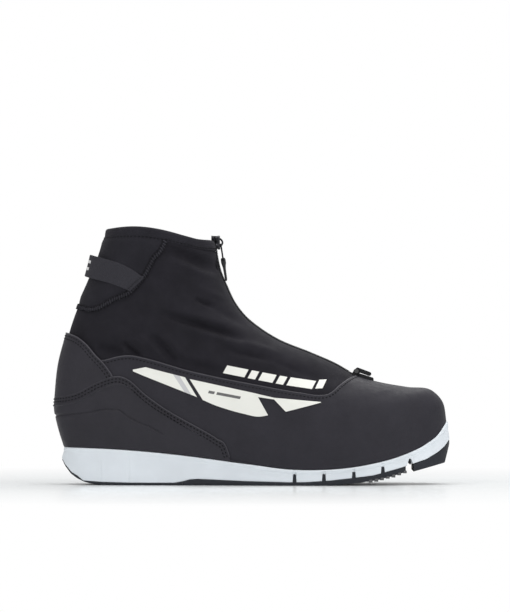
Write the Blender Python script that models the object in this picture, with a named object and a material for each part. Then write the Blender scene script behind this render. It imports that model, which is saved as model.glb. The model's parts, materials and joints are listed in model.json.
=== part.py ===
"""Cross country ski boot, right foot, built as separate closed sub-parts.

Frame: metres, +X toe, +Y inner (medial) side, +Z up, sole standing on z = 0.
All lengths below are millimetres until the mesh is made.
"""
import math

import bmesh
import bpy
from mathutils import Vector

MM = 0.001
GAP = 0.35                      # clearance between neighbouring pieces

# Side outlines of the base skin (outer face of the lace cover).
FRONT_LINE = [(145.6, 47.6), (141.9, 62.8), (134.8, 69.6), (117.3, 71.9), (90.0, 77.1), (80.0, 80.2),
              (72.3, 84.6), (63.2, 89.8), (45.1, 97.6), (17.9, 109.1), (4.3, 117.8), (-4.8, 125.3),
              (-13.8, 136.7), (-19.9, 149.5), (-25.9, 164.6), (-28.6, 174.0), (-31.9, 183.5)]
BACK_LINE = [(-139.8, 28.7), (-144.1, 42.3), (-147.1, 57.0), (-146.5, 71.0), (-144.3, 90.6),
             (-140.2, 107.0), (-136.1, 121.0), (-129.3, 138.9), (-123.0, 153.3), (-115.5, 172.0),
             (-111.6, 185.7), (-110.5, 192.9)]
# Feather line: where the upper meets the sole.
FEATHER = [(-142.0, 28.7), (-100.0, 27.0), (-55.0, 23.0), (-9.0, 17.0), (31.0, 12.1), (50.0, 11.9),
           (86.0, 15.6), (113.0, 22.7), (131.0, 31.0), (140.2, 37.8), (147.8, 47.6)]
# Half width of the last at the feather, along X, and half width of the shaft.
LAST_HALF = [(-141.0, 35.0), (-100.0, 35.0), (-60.0, 36.0), (-20.0, 39.5), (20.0, 45.5), (55.0, 48.5),
             (90.0, 47.5), (120.0, 44.5), (147.0, 41.0)]
SHAFT_HALF = [(100.0, 37.0), (140.0, 36.5), (170.0, 39.0), (196.0, 41.0)]
TOE_SWING = 6.0                 # toe tip lies this far to the inner side
ARCH_HOLLOW = 3.5               # inner side waist is narrower by this much
COLLAR_HUMP = 4.2
FEATHER_TUCK = 0.035
SAG_FADE, SAG_LEVEL = 0.2, 0.5      # how the feather curve dies out up the side

# Edge lines of the panels, seen from the side (x, z).
SHELL_EDGE = [(-150.0, 118.0), (-139.4, 114.6), (-129.6, 110.8), (-123.2, 105.4), (-117.5, 98.6),
              (-112.9, 95.0), (-93.2, 96.7), (-75.9, 93.5), (-54.6, 88.0), (-29.2, 82.3), (2.5, 76.0),
              (35.9, 69.3), (51.5, 66.8), (60.8, 69.3), (67.1, 74.3), (77.2, 80.6), (90.0, 95.0),
              (150.0, 160.0)]
HEEL_PIPED_EDGE = [(-150.0, 117.0), (-139.4, 113.6), (-129.6, 109.8), (-123.2, 104.4), (-117.5, 97.4),
                   (-112.9, 92.8), (-108.1, 86.9), (-104.7, 81.1), (-100.0, 60.0), (-90.0, 0.0)]
HEEL_LOW_EDGE = [(-152.0, 64.8), (-149.2, 65.2), (-132.5, 68.3), (-117.3, 76.3), (-107.2, 80.4),
                 (-99.1, 81.4), (-92.0, 78.4), (-82.0, 69.3), (-66.8, 58.1), (-51.6, 49.1), (-36.5, 41.0),
                 (-26.3, 34.9), (-19.3, 28.8), (-16.2, 19.3), (-12.0, 5.0)]
COLLAR_SEAM = [(-140.0, 137.0), (-131.3, 133.8), (-121.0, 131.6), (-103.6, 139.4), (-89.7, 146.8),
               (-79.4, 159.8), (-74.1, 170.0), (-68.0, 177.0), (-64.6, 186.0), (-60.0, 220.0)]
STIFFENER_EDGE = [(-150.0, 78.0), (-120.0, 76.0), (-80.0, 62.0), (-48.0, 30.0), (-40.0, 10.0)]
GAITER_UNDERLAP = 8.0
TONGUE_LEVELS = (0.4375, 0.8125)
EYESTAY_LEVELS = (0.4375, 0.75)
TOE_PUFF_COLUMN, TOE_PUFF_LEVEL = 7, 0.1875

# Layer offsets from the base skin, inner face then outer face.
LINING = (-4.4, -1.6)
LINING_FRONT_DROP = 5.2
TONGUE = (-6.4, -4.0)
EYESTAY = (-3.4, -2.2)
COVER = (-1.2, 0.0)
SHELL = (0.35, 1.35)
OVERLAY = (1.7, 2.65)
DECAL = (1.75, 2.1)
ZIP_TAPE = (-1.2, -0.3)

LOOP_GAP = (3.9, 6.8)            # finger gap behind the heel, at the foot and head of the webbing
LOOP_THICK = 1.5

# Sole.
WHITE_BOTTOM = [(-143.6, 20.0), (-140.7, 15.0), (-136.1, 9.6), (-131.6, 7.0), (-127.1, 5.3),
                (-113.5, 4.4), (-91.0, 3.8), (-59.0, 3.8), (-52.0, 5.0), (-47.0, 6.4), (-41.0, 6.8),
                (-22.9, 5.3), (-4.8, 3.8), (13.4, 2.8), (27.0, 2.4), (40.5, 2.6), (58.7, 3.8),
                (72.3, 5.3), (90.4, 7.5), (99.4, 9.8), (113.0, 13.6), (122.1, 16.6), (131.1, 19.6),
                (140.2, 24.9), (144.7, 28.7), (148.9, 34.0)]
TREAD_BOTTOM = [(-143.6, 19.2), (-140.7, 14.0), (-136.1, 8.0), (-131.6, 5.0), (-127.1, 2.6),
                (-120.0, 0.8), (-113.5, 0.15), (-108.0, 0.0), (58.0, 0.0), (67.7, 0.6), (81.3, 1.5),
                (94.9, 3.0), (108.5, 4.8), (116.0, 8.4)]
NOTCHES = [(31.6, 8.6), (53.6, 8.8), (76.0, 10.4), (97.8, 14.1)]
TOE_NOTCH = (118.6, 19.9)
SOLE_PROUD = 2.2
SOLE_TAPER = 0.97
SOLE_TOP = (-142.0, 147.8)
SOLE_LOW = (-143.6, 148.9)
TREAD_SPLIT = -52.5
TREAD_END = 115.6
BLOCK_START = 121.0
BLOCK_FOOT = [(121.0, 10.2), (144.9, 16.6), (148.6, 30.5)]
BAR_AXIS = (138.5, 17.6)
BAR_RADIUS = 1.6
BAR_HALF = 22.0
BAR_BORE = 1.9
RECESS = (130.0, 146.0, 18.0, 20.6)      # x from, x to, half width, top z
BOARD_TOP = 2.2
FOOTBED_THICK = 4.0
INSIDE_INSET = -5.2
SHANK = (-92.0, 22.0, 11.0, 1.1)         # x from, x to, half width, thickness
SHANK_POCKET = 1.7

# Zip and pull.
ZIP_CENTRE = (59.0, 185.2)
ZIP_RADIUS = 87.0
COIL_HALF = 1.6
COIL_V = (0.37, 0.985)
SLIDER_LONG = 11.0
SLIDER_FOOT = 1.6
SLIDER_ROOF = 3.2
PULL_REST = 0.035
SLIDER_HALF = 4.3
STOP_V = (COIL_V[0] - 0.014, COIL_V[0] - 0.003)
COIL_MIDDLE_GAP = 0.15             # half the gap between the two closed coils
COIL_DEPTH = (-1.0, 0.8)
STOP_DEPTH = (-1.0, 1.1)
COIL_STEPS = 20
TAPE_V = (0.345, 0.985)
BAIL_RADIUS, BAIL_HALF = 2.3, 1.2
EYE_RADIUS = 1.1
PULL_AXIS = (-23.8, 181.0)
PULL_LEAN = math.radians(8.5)
# Gaiter ring at the throat.
RING_AXIS = (78.6, 85.3)
RING_TILT = math.radians(-20.0)
RING_BORE = 1.0
RING_PIN = 0.9
RING_MIDDLE = 1.6                  # the throat ring sits slightly to the inner side
RING_HALF = 5.6
RING_WINDOW_HALF = 3.7
RING_BASE_HALF = 5.9
RING_BASE_PLATE = [(81.2, 81.8), (91.0, 78.7), (91.3, 79.9), (81.4, 83.3)]
RING_LUG = [(-1.7, -1.0), (3.5, -2.4), (1.9, 0.6), (1.0, 1.7), (-1.0, 1.7), (-1.9, 0.6)]
RING_LUG_AT, RING_LUG_HALF = 4.95, 0.85
PIN_HALF = 6.3
PIN_HEAD_AT, PIN_HEAD_HALF, PIN_HEAD_RADIUS = 6.6, 0.4, 1.6
BARREL_RADIUS, BARREL_HALF = 1.8, 3.6

# Cord loop and tab of the zip pull: distances down from the slider's eye.
CORD_REACH, CORD_HALF, CORD_BEND, CORD_RADIUS = 13.0, 3.5, 1.5, 0.7
CORD_SIDES, CORD_CORNER_STEPS = 8, 4
TAB_HALF = 2.4
TAB_PROFILE = [(-1.1, -10.6), (1.5, -10.6), (1.9, -12.0), (1.9, -15.5), (0.9, -18.0), (0.8, -28.0),
               (-0.4, -28.0), (-0.6, -18.0), (-1.9, -15.5), (-1.9, -12.0)]

# Light films on the side of the shell: edges in (x, z), end pairs are (lower x, upper x).
REAR_FILM_TOP = [(-89.5, 86.5), (-80.0, 88.2), (-50.0, 80.4), (-41.0, 66.0)]
REAR_FILM_LOW = [(-89.5, 85.8), (-82.0, 82.4), (-52.6, 70.8), (-41.0, 65.6)]
REAR_FILM_X = [(-88.0, -88.0), (-76.0, -76.0), (-63.0, -63.0), (-52.0, -50.0), (-43.0, -46.5)]
MIDDLE_FILM_TOP = [(-46.7, 79.5), (-12.0, 72.0), (21.0, 66.0), (45.0, 63.0)]
MIDDLE_FILM_LOW = [(-46.7, 79.0), (-36.0, 64.1), (-17.7, 56.8), (5.4, 51.3), (11.8, 52.8), (26.0, 63.8)]
MIDDLE_FILM_X = [(-38.0, -44.0), (-20.0, -20.0), (-5.0, -5.0), (6.0, 3.0)]
FRONT_FILM_TOP = [(16.2, 64.2), (51.2, 61.5)]
FRONT_FILM_LOW = [(23.9, 55.3), (35.9, 58.0), (51.2, 61.2)]
FRONT_FILM_X = [(25.0, 17.5), (36.0, 33.0), (49.0, 48.0)]

# Webbing loop behind the heel.
LOOP_TOP = [(-124.0, 172.2), (-109.0, 169.5), (-91.0, 162.6), (-83.0, 157.0)]
LOOP_LOW = [(-124.0, 157.0), (-106.5, 153.2), (-93.0, 148.2), (-83.0, 143.0)]
LOOP_COLUMNS = 7                   # columns that the webbing covers on each side of the heel
LOOP_LIFT_U = (0.74, 0.93)         # where the webbing leaves the collar

COLUMNS_U = [0.0, 0.0144, 0.0486, 0.0545, 0.09, 0.13, 0.17, 0.21, 0.25, 0.30, 0.35, 0.40, 0.448, 0.456,
             0.464, 0.51, 0.56, 0.61, 0.66, 0.71, 0.76, 0.81, 0.86, 0.91, 0.955, 0.998, 1.0]
SIDE = len(COLUMNS_U) - 1
COUNT = 2 * SIDE
ROWS = 16
ZIP_INNER, ZIP_OUTER, COVER_START = 1, 2, 3
SEAM_COLUMN = 12


def clear_scene():
    for item in list(bpy.data.objects):
        bpy.data.objects.remove(item, do_unlink=True)


def ease(start, end, value):
    t = min(1.0, max(0.0, (value - start) / (end - start)))
    return t * t * (3.0 - 2.0 * t)


def mix(a, b, t):
    return a + (b - a) * t


def hermite(keys, values):
    """Smooth curve through the points; flat outside them."""
    steps = [keys[i + 1] - keys[i] for i in range(len(keys) - 1)]
    secants = [(values[i + 1] - values[i]) / steps[i] for i in range(len(steps))]
    slopes = [secants[0]]
    for i in range(1, len(keys) - 1):
        slopes.append((secants[i] * steps[i - 1] + secants[i - 1] * steps[i]) / (steps[i - 1] + steps[i]))
    slopes.append(secants[-1])

    def curve(k):
        k = min(keys[-1], max(keys[0], k))
        i = 0
        while i < len(steps) - 1 and k > keys[i + 1]:
            i += 1
        h = steps[i]
        t = (k - keys[i]) / h
        a = values[i] * (1 + 2 * t) * (1 - t) ** 2 + values[i + 1] * t * t * (3 - 2 * t)
        return a + h * (slopes[i] * t * (1 - t) ** 2 + slopes[i + 1] * t * t * (t - 1))
    return curve


def height_line(points):
    return hermite([p[0] for p in points], [p[1] for p in points])


def straight_line(points):
    def curve(x):
        if x <= points[0][0]:
            return points[0][1]
        for (x0, z0), (x1, z1) in zip(points, points[1:]):
            if x <= x1:
                return z0 + (z1 - z0) * (x - x0) / (x1 - x0)
        return points[-1][1]
    return curve


def outline_track(points):
    """Point on an outline by the fraction of its length."""
    keys = [0.0]
    for a, b in zip(points, points[1:]):
        keys.append(keys[-1] + math.dist(a, b))
    keys = [k / keys[-1] for k in keys]
    fx = hermite(keys, [p[0] for p in points])
    fz = hermite(keys, [p[1] for p in points])
    return lambda v: (fx(v), fz(v))


FRONT = outline_track(FRONT_LINE)
BACK = outline_track(BACK_LINE)
FEATHER_Z = height_line(FEATHER)
LAST_W = height_line(LAST_HALF)
SHAFT_W = height_line(SHAFT_HALF)


def half_width(x, z, side):
    low = LAST_W(x)
    if side > 0:
        low -= ARCH_HOLLOW * math.exp(-((x + 25.0) / 42.0) ** 2)
    width = mix(low, SHAFT_W(z), ease(62.0, 138.0, z))
    return width * (1.0 - FEATHER_TUCK * (1.0 - ease(0.0, 24.0, z - FEATHER_Z(x))))


def centre_y(x, z):
    return TOE_SWING * ease(10.0, 150.0, x) * (1.0 - ease(70.0, 130.0, z))


def side_place(v, s):
    """Point of the slice v, fraction s from front to back, in the side view."""
    fx, fz = FRONT(v)
    bx, bz = BACK(v)
    x, z = mix(fx, bx, s), mix(fz, bz, s)
    front0, back0 = FRONT_LINE[0], BACK_LINE[0]
    chord = mix(back0[1], front0[1], (x - back0[0]) / (front0[0] - back0[0]))
    fade = (4.0 * s * (1.0 - s)) ** min(1.0, v / SAG_FADE)
    z += max(0.0, 1.0 - v / SAG_LEVEL) ** 1.6 * fade * (FEATHER_Z(x) - chord)
    z += COLLAR_HUMP * ease(0.8, 1.0, v) * math.sin(math.pi * s ** 1.3)
    return x, z


def rounding(v, s):
    """Plan rounding of a slice: 0 at its ends, 1 at its widest place."""
    t = ease(0.0, 0.6, v)
    widest, nose, tail = mix(0.33, 0.5, t), mix(3.0, 2.1, t), mix(4.0, 2.3, t)
    if s < widest:
        q, n = (widest - s) / widest, nose
    else:
        q, n = (s - widest) / (1.0 - widest), tail
    return max(0.0, 1.0 - q ** n) ** (1.0 / n)


def skin(u, v, side):
    s = 0.5 * (1.0 - math.cos(math.pi * u))
    x, z = side_place(v, s)
    return Vector((x, centre_y(x, z) + side * half_width(x, z, side) * rounding(v, s), z))


def column(i):
    i %= COUNT
    return (COLUMNS_U[i], -1) if i <= SIDE else (COLUMNS_U[COUNT - i], 1)


def skin_signed(w, v):
    """w runs from -1 (back, inner side) over 0 (front) to 1 (back, outer side)."""
    if w > 1.0:
        w -= 2.0
    if w < -1.0:
        w += 2.0
    return skin(abs(w), v, -1 if w >= 0 else 1)


def skin_normal(w, v):
    dw, dv = 0.012, 0.01
    across = skin_signed(w + dw, v) - skin_signed(w - dw, v)
    up = skin_signed(w, min(1.0, v + dv)) - skin_signed(w, max(0.0, v - dv))
    return up.cross(across).normalized()


def signed_u(i):
    u, side = column(i)
    return u if side < 0 else -u


NET = [[skin_signed(signed_u(i), j / ROWS) for j in range(ROWS + 1)] for i in range(COUNT)]
NORMALS = [[skin_normal(signed_u(i), j / ROWS) for j in range(ROWS + 1)] for i in range(COUNT)]


def net_point(i, v, offset):
    i %= COUNT
    k = min(ROWS - 1, int(v * ROWS))
    t = v * ROWS - k
    normal = (NORMALS[i][k] * (1 - t) + NORMALS[i][k + 1] * t).normalized()
    return NET[i][k] * (1 - t) + NET[i][k + 1] * t + normal * offset


def level_on(i, line, shift=0.0):
    """Level v where column i crosses a side-view line."""
    low, high = 0.0, 1.0
    if net_point(i, 0.0, 0.0).z >= line(net_point(i, 0.0, 0.0).x) + shift:
        return 0.0
    if net_point(i, 1.0, 0.0).z <= line(net_point(i, 1.0, 0.0).x) + shift:
        return 1.0
    for _ in range(26):
        mid = 0.5 * (low + high)
        p = net_point(i, mid, 0.0)
        if p.z < line(p.x) + shift:
            low = mid
        else:
            high = mid
    return 0.5 * (low + high)


class Solid:
    """Collects polygons, welding corners that share a place."""

    def __init__(self):
        self.places = {}
        self.corners = []
        self.faces = []

    def corner(self, p):
        key = (round(p[0], 3), round(p[1], 3), round(p[2], 3))
        if key not in self.places:
            self.places[key] = len(self.corners)
            self.corners.append(tuple(p))
        return self.places[key]

    def face(self, points):
        ring = []
        for p in points:
            n = self.corner(p)
            if not ring or ring[-1] != n:
                ring.append(n)
        if len(ring) > 1 and ring[0] == ring[-1]:
            ring.pop()
        if len(set(ring)) == len(ring) and len(ring) > 2:
            self.faces.append(ring)

    def build(self, name, material, origin=(0.0, 0.0, 0.0)):
        shifted = [tuple((c[k] - origin[k]) * MM for k in range(3)) for c in self.corners]
        mesh = bpy.data.meshes.new(name)
        mesh.from_pydata(shifted, [], self.faces)
        work = bmesh.new()
        work.from_mesh(mesh)
        bmesh.ops.recalc_face_normals(work, faces=work.faces)
        work.to_mesh(mesh)
        work.free()
        item = bpy.data.objects.new(name, mesh)
        item.location = [c * MM for c in origin]
        bpy.context.scene.collection.objects.link(item)
        mesh.materials.append(material)
        return item


def make_material(name, colour, roughness, metallic=0.0):
    material = bpy.data.materials.new(name)
    material.use_nodes = True
    shader = material.node_tree.nodes["Principled BSDF"]
    shader.inputs["Base Color"].default_value = (*colour, 1.0)
    shader.inputs["Roughness"].default_value = roughness
    shader.inputs["Metallic"].default_value = metallic
    return material


def offset_of(layer, side, i, v):
    value = layer[side]
    return value(i, v) if callable(value) else value


def panel(name, material, columns, low, high, layer):
    """Closed sheet between two levels on a run of columns, layer[0] inside, layer[1] outside."""
    solid = Solid()
    snap = 0.35 / ROWS

    def levels(i):
        lo, hi = low(i), high(i)
        out = []
        for j in range(ROWS + 1):
            v = j / ROWS
            v = lo if v < lo + snap else v
            v = hi if v > hi - snap else v
            out.append(min(max(v, lo), hi))
        out[0], out[-1] = lo, hi
        return out

    tables = {i: levels(i) for i in columns}
    closed = (columns[-1] + 1) % COUNT == columns[0] % COUNT and len(columns) == COUNT
    pairs = list(zip(columns, columns[1:])) + ([(columns[-1], columns[0])] if closed else [])
    sides = {}
    for a, b in pairs:
        for j in range(ROWS):
            ring = []
            for key in ((a, tables[a][j]), (b, tables[b][j]), (b, tables[b][j + 1]), (a, tables[a][j + 1])):
                if key not in ring:
                    ring.append(key)
            if len(ring) < 3:
                continue
            triangles = [ring[:3]]
            if len(ring) == 4:
                triangles.append([ring[0], ring[2], ring[3]])
            for tri in triangles:
                for k in range(2):
                    points = [net_point(i, v, offset_of(layer, k, i, v)) for i, v in tri]
                    solid.face(points if k else points[::-1])
                for n in range(3):
                    edge = (tri[n], tri[(n + 1) % 3])
                    back = (edge[1], edge[0])
                    if back in sides:
                        del sides[back]
                    else:
                        sides[edge] = True
    for start, end in sides:
        solid.face([net_point(start[0], start[1], offset_of(layer, 1, *start)),
                    net_point(start[0], start[1], offset_of(layer, 0, *start)),
                    net_point(end[0], end[1], offset_of(layer, 0, *end)),
                    net_point(end[0], end[1], offset_of(layer, 1, *end))])
    return solid.build(name, material)


def box_solid(low, high):
    solid = Solid()
    x, y, z = zip(low, high)
    c = [(x[i & 1], y[(i >> 1) & 1], z[(i >> 2) & 1]) for i in range(8)]
    for ring in ((0, 2, 3, 1), (4, 5, 7, 6), (0, 1, 5, 4), (2, 6, 7, 3), (0, 4, 6, 2), (1, 3, 7, 5)):
        solid.face([c[k] for k in ring])
    return solid


def prism_y(points, half, middle=0.0):
    """Side-view outline carried across from one side to the other."""
    solid = Solid()
    left = [(x, middle - half, z) for x, z in points]
    right = [(x, middle + half, z) for x, z in points]
    solid.face(left)
    solid.face(right[::-1])
    for n in range(len(points)):
        m = (n + 1) % len(points)
        solid.face([left[n], right[n], right[m], left[m]])
    return solid


def circle(centre, radius, count=20):
    return [(centre[0] + radius * math.cos(2 * math.pi * k / count),
             centre[1] + radius * math.sin(2 * math.pi * k / count)) for k in range(count)]


def merge(target, tool, operation):
    """Join or cut with a second solid, then drop the tool."""
    step = target.modifiers.new(operation, "BOOLEAN")
    step.operation = operation
    step.solver = "EXACT"
    step.object = tool
    bpy.context.view_layer.update()
    graph = bpy.context.evaluated_depsgraph_get()
    mesh = bpy.data.meshes.new_from_object(target.evaluated_get(graph))
    target.modifiers.clear()
    target.data = mesh
    bpy.data.objects.remove(tool, do_unlink=True)


def plan_table(offset):
    """Half widths of the feather loop, moved outward, by station along X."""
    table = {}
    for side in (-1, 1):
        rows = []
        for n in range(201):
            w = -side * n / 200.0
            normal = skin_normal(w, 0.0)
            flat = Vector((normal.x, normal.y, 0.0)).normalized()
            p = skin_signed(w, 0.0) + flat * offset
            rows.append((p.x, p.y))
        table[side] = sorted(rows)
    return table


def plan_y(table, side, x):
    rows = table[side]
    if x <= rows[0][0]:
        return rows[0][1]
    for (x0, y0), (x1, y1) in zip(rows, rows[1:]):
        if x <= x1:
            return y0 + (y1 - y0) * (x - x0) / max(1e-9, x1 - x0)
    return rows[-1][1]


def stations(low, high, extra=()):
    """Stations along X, close together where the outline turns."""
    out = {low, high}
    full = SOLE_LOW
    for n in range(25):
        x = mix(full[0], full[1], 0.5 * (1.0 - math.cos(math.pi * n / 24.0)))
        if low + 1.0 < x < high - 1.0:
            out.add(x)
    kept = sorted(x for x in out if all(abs(x - e) > 1.2 for e in extra))
    return sorted(set(kept) | {e for e in extra if low <= e <= high})


def slab(name, material, xs, top, bottom, plan, top_range=None, taper=1.0, origin=(0, 0, 0)):
    """Plate with the boot's plan; top and bottom are height lines along X."""
    solid = Solid()
    tips = (plan[1][0][0], plan[1][-1][0])

    def place(x, height, squeeze, span):
        t = (x - span[0]) / (span[1] - span[0])
        px = mix(tips[0], tips[1], t)
        mid = 0.5 * (plan_y(plan, -1, px) + plan_y(plan, 1, px))
        out = []
        for side in (-1, 1):
            y = mid + (plan_y(plan, side, px) - mid) * squeeze
            out.append((px, y, height))
        return out

    span = SOLE_LOW
    upper, lower = [], []
    for x in xs:
        t = (x - span[0]) / (span[1] - span[0])
        xt = mix(*top_range, t) if top_range else x
        a = place(x, top(xt), 1.0, span)
        b = place(x, bottom(x), taper, span)
        upper.append([(xt, p[1], p[2]) for p in a])
        lower.append([(x, p[1], p[2]) for p in b])
    for n in range(len(xs) - 1):
        solid.face([upper[n][0], upper[n + 1][0], upper[n + 1][1], upper[n][1]])
        solid.face([lower[n][0], lower[n][1], lower[n + 1][1], lower[n + 1][0]])
        for side in (0, 1):
            solid.face([upper[n][side], lower[n][side], lower[n + 1][side], upper[n + 1][side]])
    for n in (0, -1):
        solid.face([upper[n][0], upper[n][1], lower[n][1], lower[n][0]])
    return solid.build(name, material, origin)


def white_bottom_line():
    points = list(WHITE_BOTTOM)
    line = straight_line(WHITE_BOTTOM)
    for x, top in NOTCHES:
        points += [(x - 1.5, line(x - 1.5)), (x - 0.95, top), (x + 0.95, top), (x + 1.5, line(x + 1.5))]
    x, top = TOE_NOTCH
    points += [(x - 2.6, line(x - 2.6)), (x - 0.9, top), (x + 0.5, top), (x + 2.0, line(x + 2.0))]
    return sorted(points)


def tread_top_line():
    points = [(x, z - GAP) for x, z in WHITE_BOTTOM]
    line = straight_line(WHITE_BOTTOM)
    for x, top in NOTCHES:
        points += [(x - 1.1, line(x - 1.1) - GAP), (x - 0.55, top - GAP - 0.1),
                   (x + 0.55, top - GAP - 0.1), (x + 1.1, line(x + 1.1) - GAP)]
    return sorted(points)


def tangent_frame(v):
    """Centre point, tangent and outward normal of the front centre line."""
    a, b = FRONT(max(0.0, v - 0.01)), FRONT(min(1.0, v + 0.01))
    tx, tz = b[0] - a[0], b[1] - a[1]
    size = math.hypot(tx, tz)
    return FRONT(v), (tx / size, tz / size), (tz / size, -tx / size)


def front_strip(name, material, y_from, y_to, h_from, h_to, levels):
    """Strip of rectangular section along the front centre line."""
    solid = Solid()
    rings = []
    for v in levels:
        (x, z), _, (nx, nz) = tangent_frame(v)
        rings.append([(x + nx * h, y, z + nz * h) for y, h in
                      ((y_from, h_from), (y_to, h_from), (y_to, h_to), (y_from, h_to))])
    for a, b in zip(rings, rings[1:]):
        for k in range(4):
            m = (k + 1) % 4
            solid.face([a[k], a[m], b[m], b[k]])
    solid.face(rings[0])
    solid.face(rings[-1][::-1])
    return solid.build(name, material)


def turned(point, angle):
    c, s = math.cos(angle), math.sin(angle)
    return (point[0] * c - point[1] * s, point[0] * s + point[1] * c)


def around(points, axis, angle):
    return [(axis[0] + turned(p, angle)[0], axis[1] + turned(p, angle)[1]) for p in points]


def skin_at(x, z, side, offset):
    """Outer surface point above a side-view place."""
    low, high = 0.0, 1.0
    for _ in range(30):
        v = 0.5 * (low + high)
        fx, bx = FRONT(v)[0], BACK(v)[0]
        s = min(1.0, max(0.0, (x - fx) / (bx - fx)))
        if side_place(v, s)[1] < z:
            low = v
        else:
            high = v
    u = math.acos(1.0 - 2.0 * s) / math.pi
    w = u if side < 0 else -u
    return skin_signed(w, v) + skin_normal(w, v) * offset


def film(name, material, xs, bottom, top, side, layer):
    """Thin printed film lying on the shell."""
    solid = Solid()
    rows = []
    for x_low, x_high in xs:
        place = []
        for t in (0.0, 0.5, 1.0):
            x = mix(x_low, x_high, t)
            z = mix(bottom(x), top(x), t)
            place.append([skin_at(x, z, side, layer[0]), skin_at(x, z, side, layer[1])])
        rows.append(place)
    for a, b in zip(rows, rows[1:]):
        for n in range(2):
            for k in (0, 1):
                quad = [a[n][k], b[n][k], b[n + 1][k], a[n + 1][k]]
                solid.face([quad[0], quad[1], quad[2]])
                solid.face([quad[0], quad[2], quad[3]])
        for n in (0, 2):
            solid.face([a[n][0], a[n][1], b[n][1], b[n][0]])
    for row in (rows[0], rows[-1]):
        for n in range(2):
            solid.face([row[n][0], row[n][1], row[n + 1][1], row[n + 1][0]])
    return solid.build(name, material)


def build_sole():
    white = make_material("white_sole_foam", (0.62, 0.68, 0.72), 0.55)
    rubber = make_material("dark_tread_rubber", (0.022, 0.026, 0.036), 0.7)
    steel = make_material("bar_steel", (0.55, 0.55, 0.56), 0.28, 1.0)
    plan = plan_table(SOLE_PROUD)
    bottom = white_bottom_line()
    lines = straight_line(bottom)
    xs = stations(*SOLE_LOW, extra=[p[0] for p in bottom if 25 < p[0] < 122 or -60 < p[0] < -40])
    sole = slab("sole_unit", white, xs, lambda x: FEATHER_Z(x) - GAP, lines, plan, SOLE_TOP, SOLE_TAPER)
    x0, x1, half, thick = SHANK
    floor = [(x, FEATHER_Z(x) - GAP - SHANK_POCKET) for x in (x0 - 0.4, -60.0, -30.0, 0.0, x1 + 0.4)]
    roof = [(x, z + 6.0) for x, z in floor[::-1]]
    merge(sole, prism_y(floor + roof, half + 0.4).build("pocket", white), "DIFFERENCE")
    plate = [(x, FEATHER_Z(x) - 0.8 * GAP - SHANK_POCKET + 0.3) for x in (x0, -60.0, -30.0, 0.0, x1)]
    shank = prism_y(plate + [(x, z + thick) for x, z in plate[::-1]], half)
    shank.build("shank", make_material("shank_plastic", (0.05, 0.05, 0.05), 0.5))

    tread = straight_line(TREAD_BOTTOM)
    roof_line = tread_top_line()
    top = straight_line(roof_line)
    heel_x = stations(SOLE_LOW[0] + 0.4, TREAD_SPLIT - 0.2, extra=(-136.1, -127.1, -113.5, -59.0))
    slab("outsole_heel", rubber, heel_x, top, tread, plan, None, SOLE_TAPER)
    marks = [p[0] for p in roof_line if TREAD_SPLIT + 0.2 < p[0] < TREAD_END]
    slab("outsole_forefoot", rubber, stations(TREAD_SPLIT + 0.2, TREAD_END, extra=marks), top, tread, plan,
         None, SOLE_TAPER)

    block_top = straight_line([(x, z - GAP) for x, z in WHITE_BOTTOM])
    block_foot = straight_line(BLOCK_FOOT)
    xs = stations(BLOCK_START, SOLE_LOW[1] - 0.3, extra=(144.9, 140.2, 131.1))
    block = slab("toe_block", rubber, xs, block_top, block_foot, plan, None, SOLE_TAPER)
    middle = centre_y(BAR_AXIS[0], BAR_AXIS[1])
    a, b, half, roof = RECESS
    merge(block, prism_y([(a, 0.0), (b + 6.0, 0.0), (b + 6.0, 14.0), (b - 3.5, roof), (a, roof)], half,
                         middle).build("recess", rubber), "DIFFERENCE")
    merge(block, prism_y(circle(BAR_AXIS, BAR_BORE), BAR_HALF + 0.3, middle).build("bore", rubber),
          "DIFFERENCE")
    prism_y(circle(BAR_AXIS, BAR_RADIUS), BAR_HALF, middle).build("toe_bar", steel)


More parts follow.
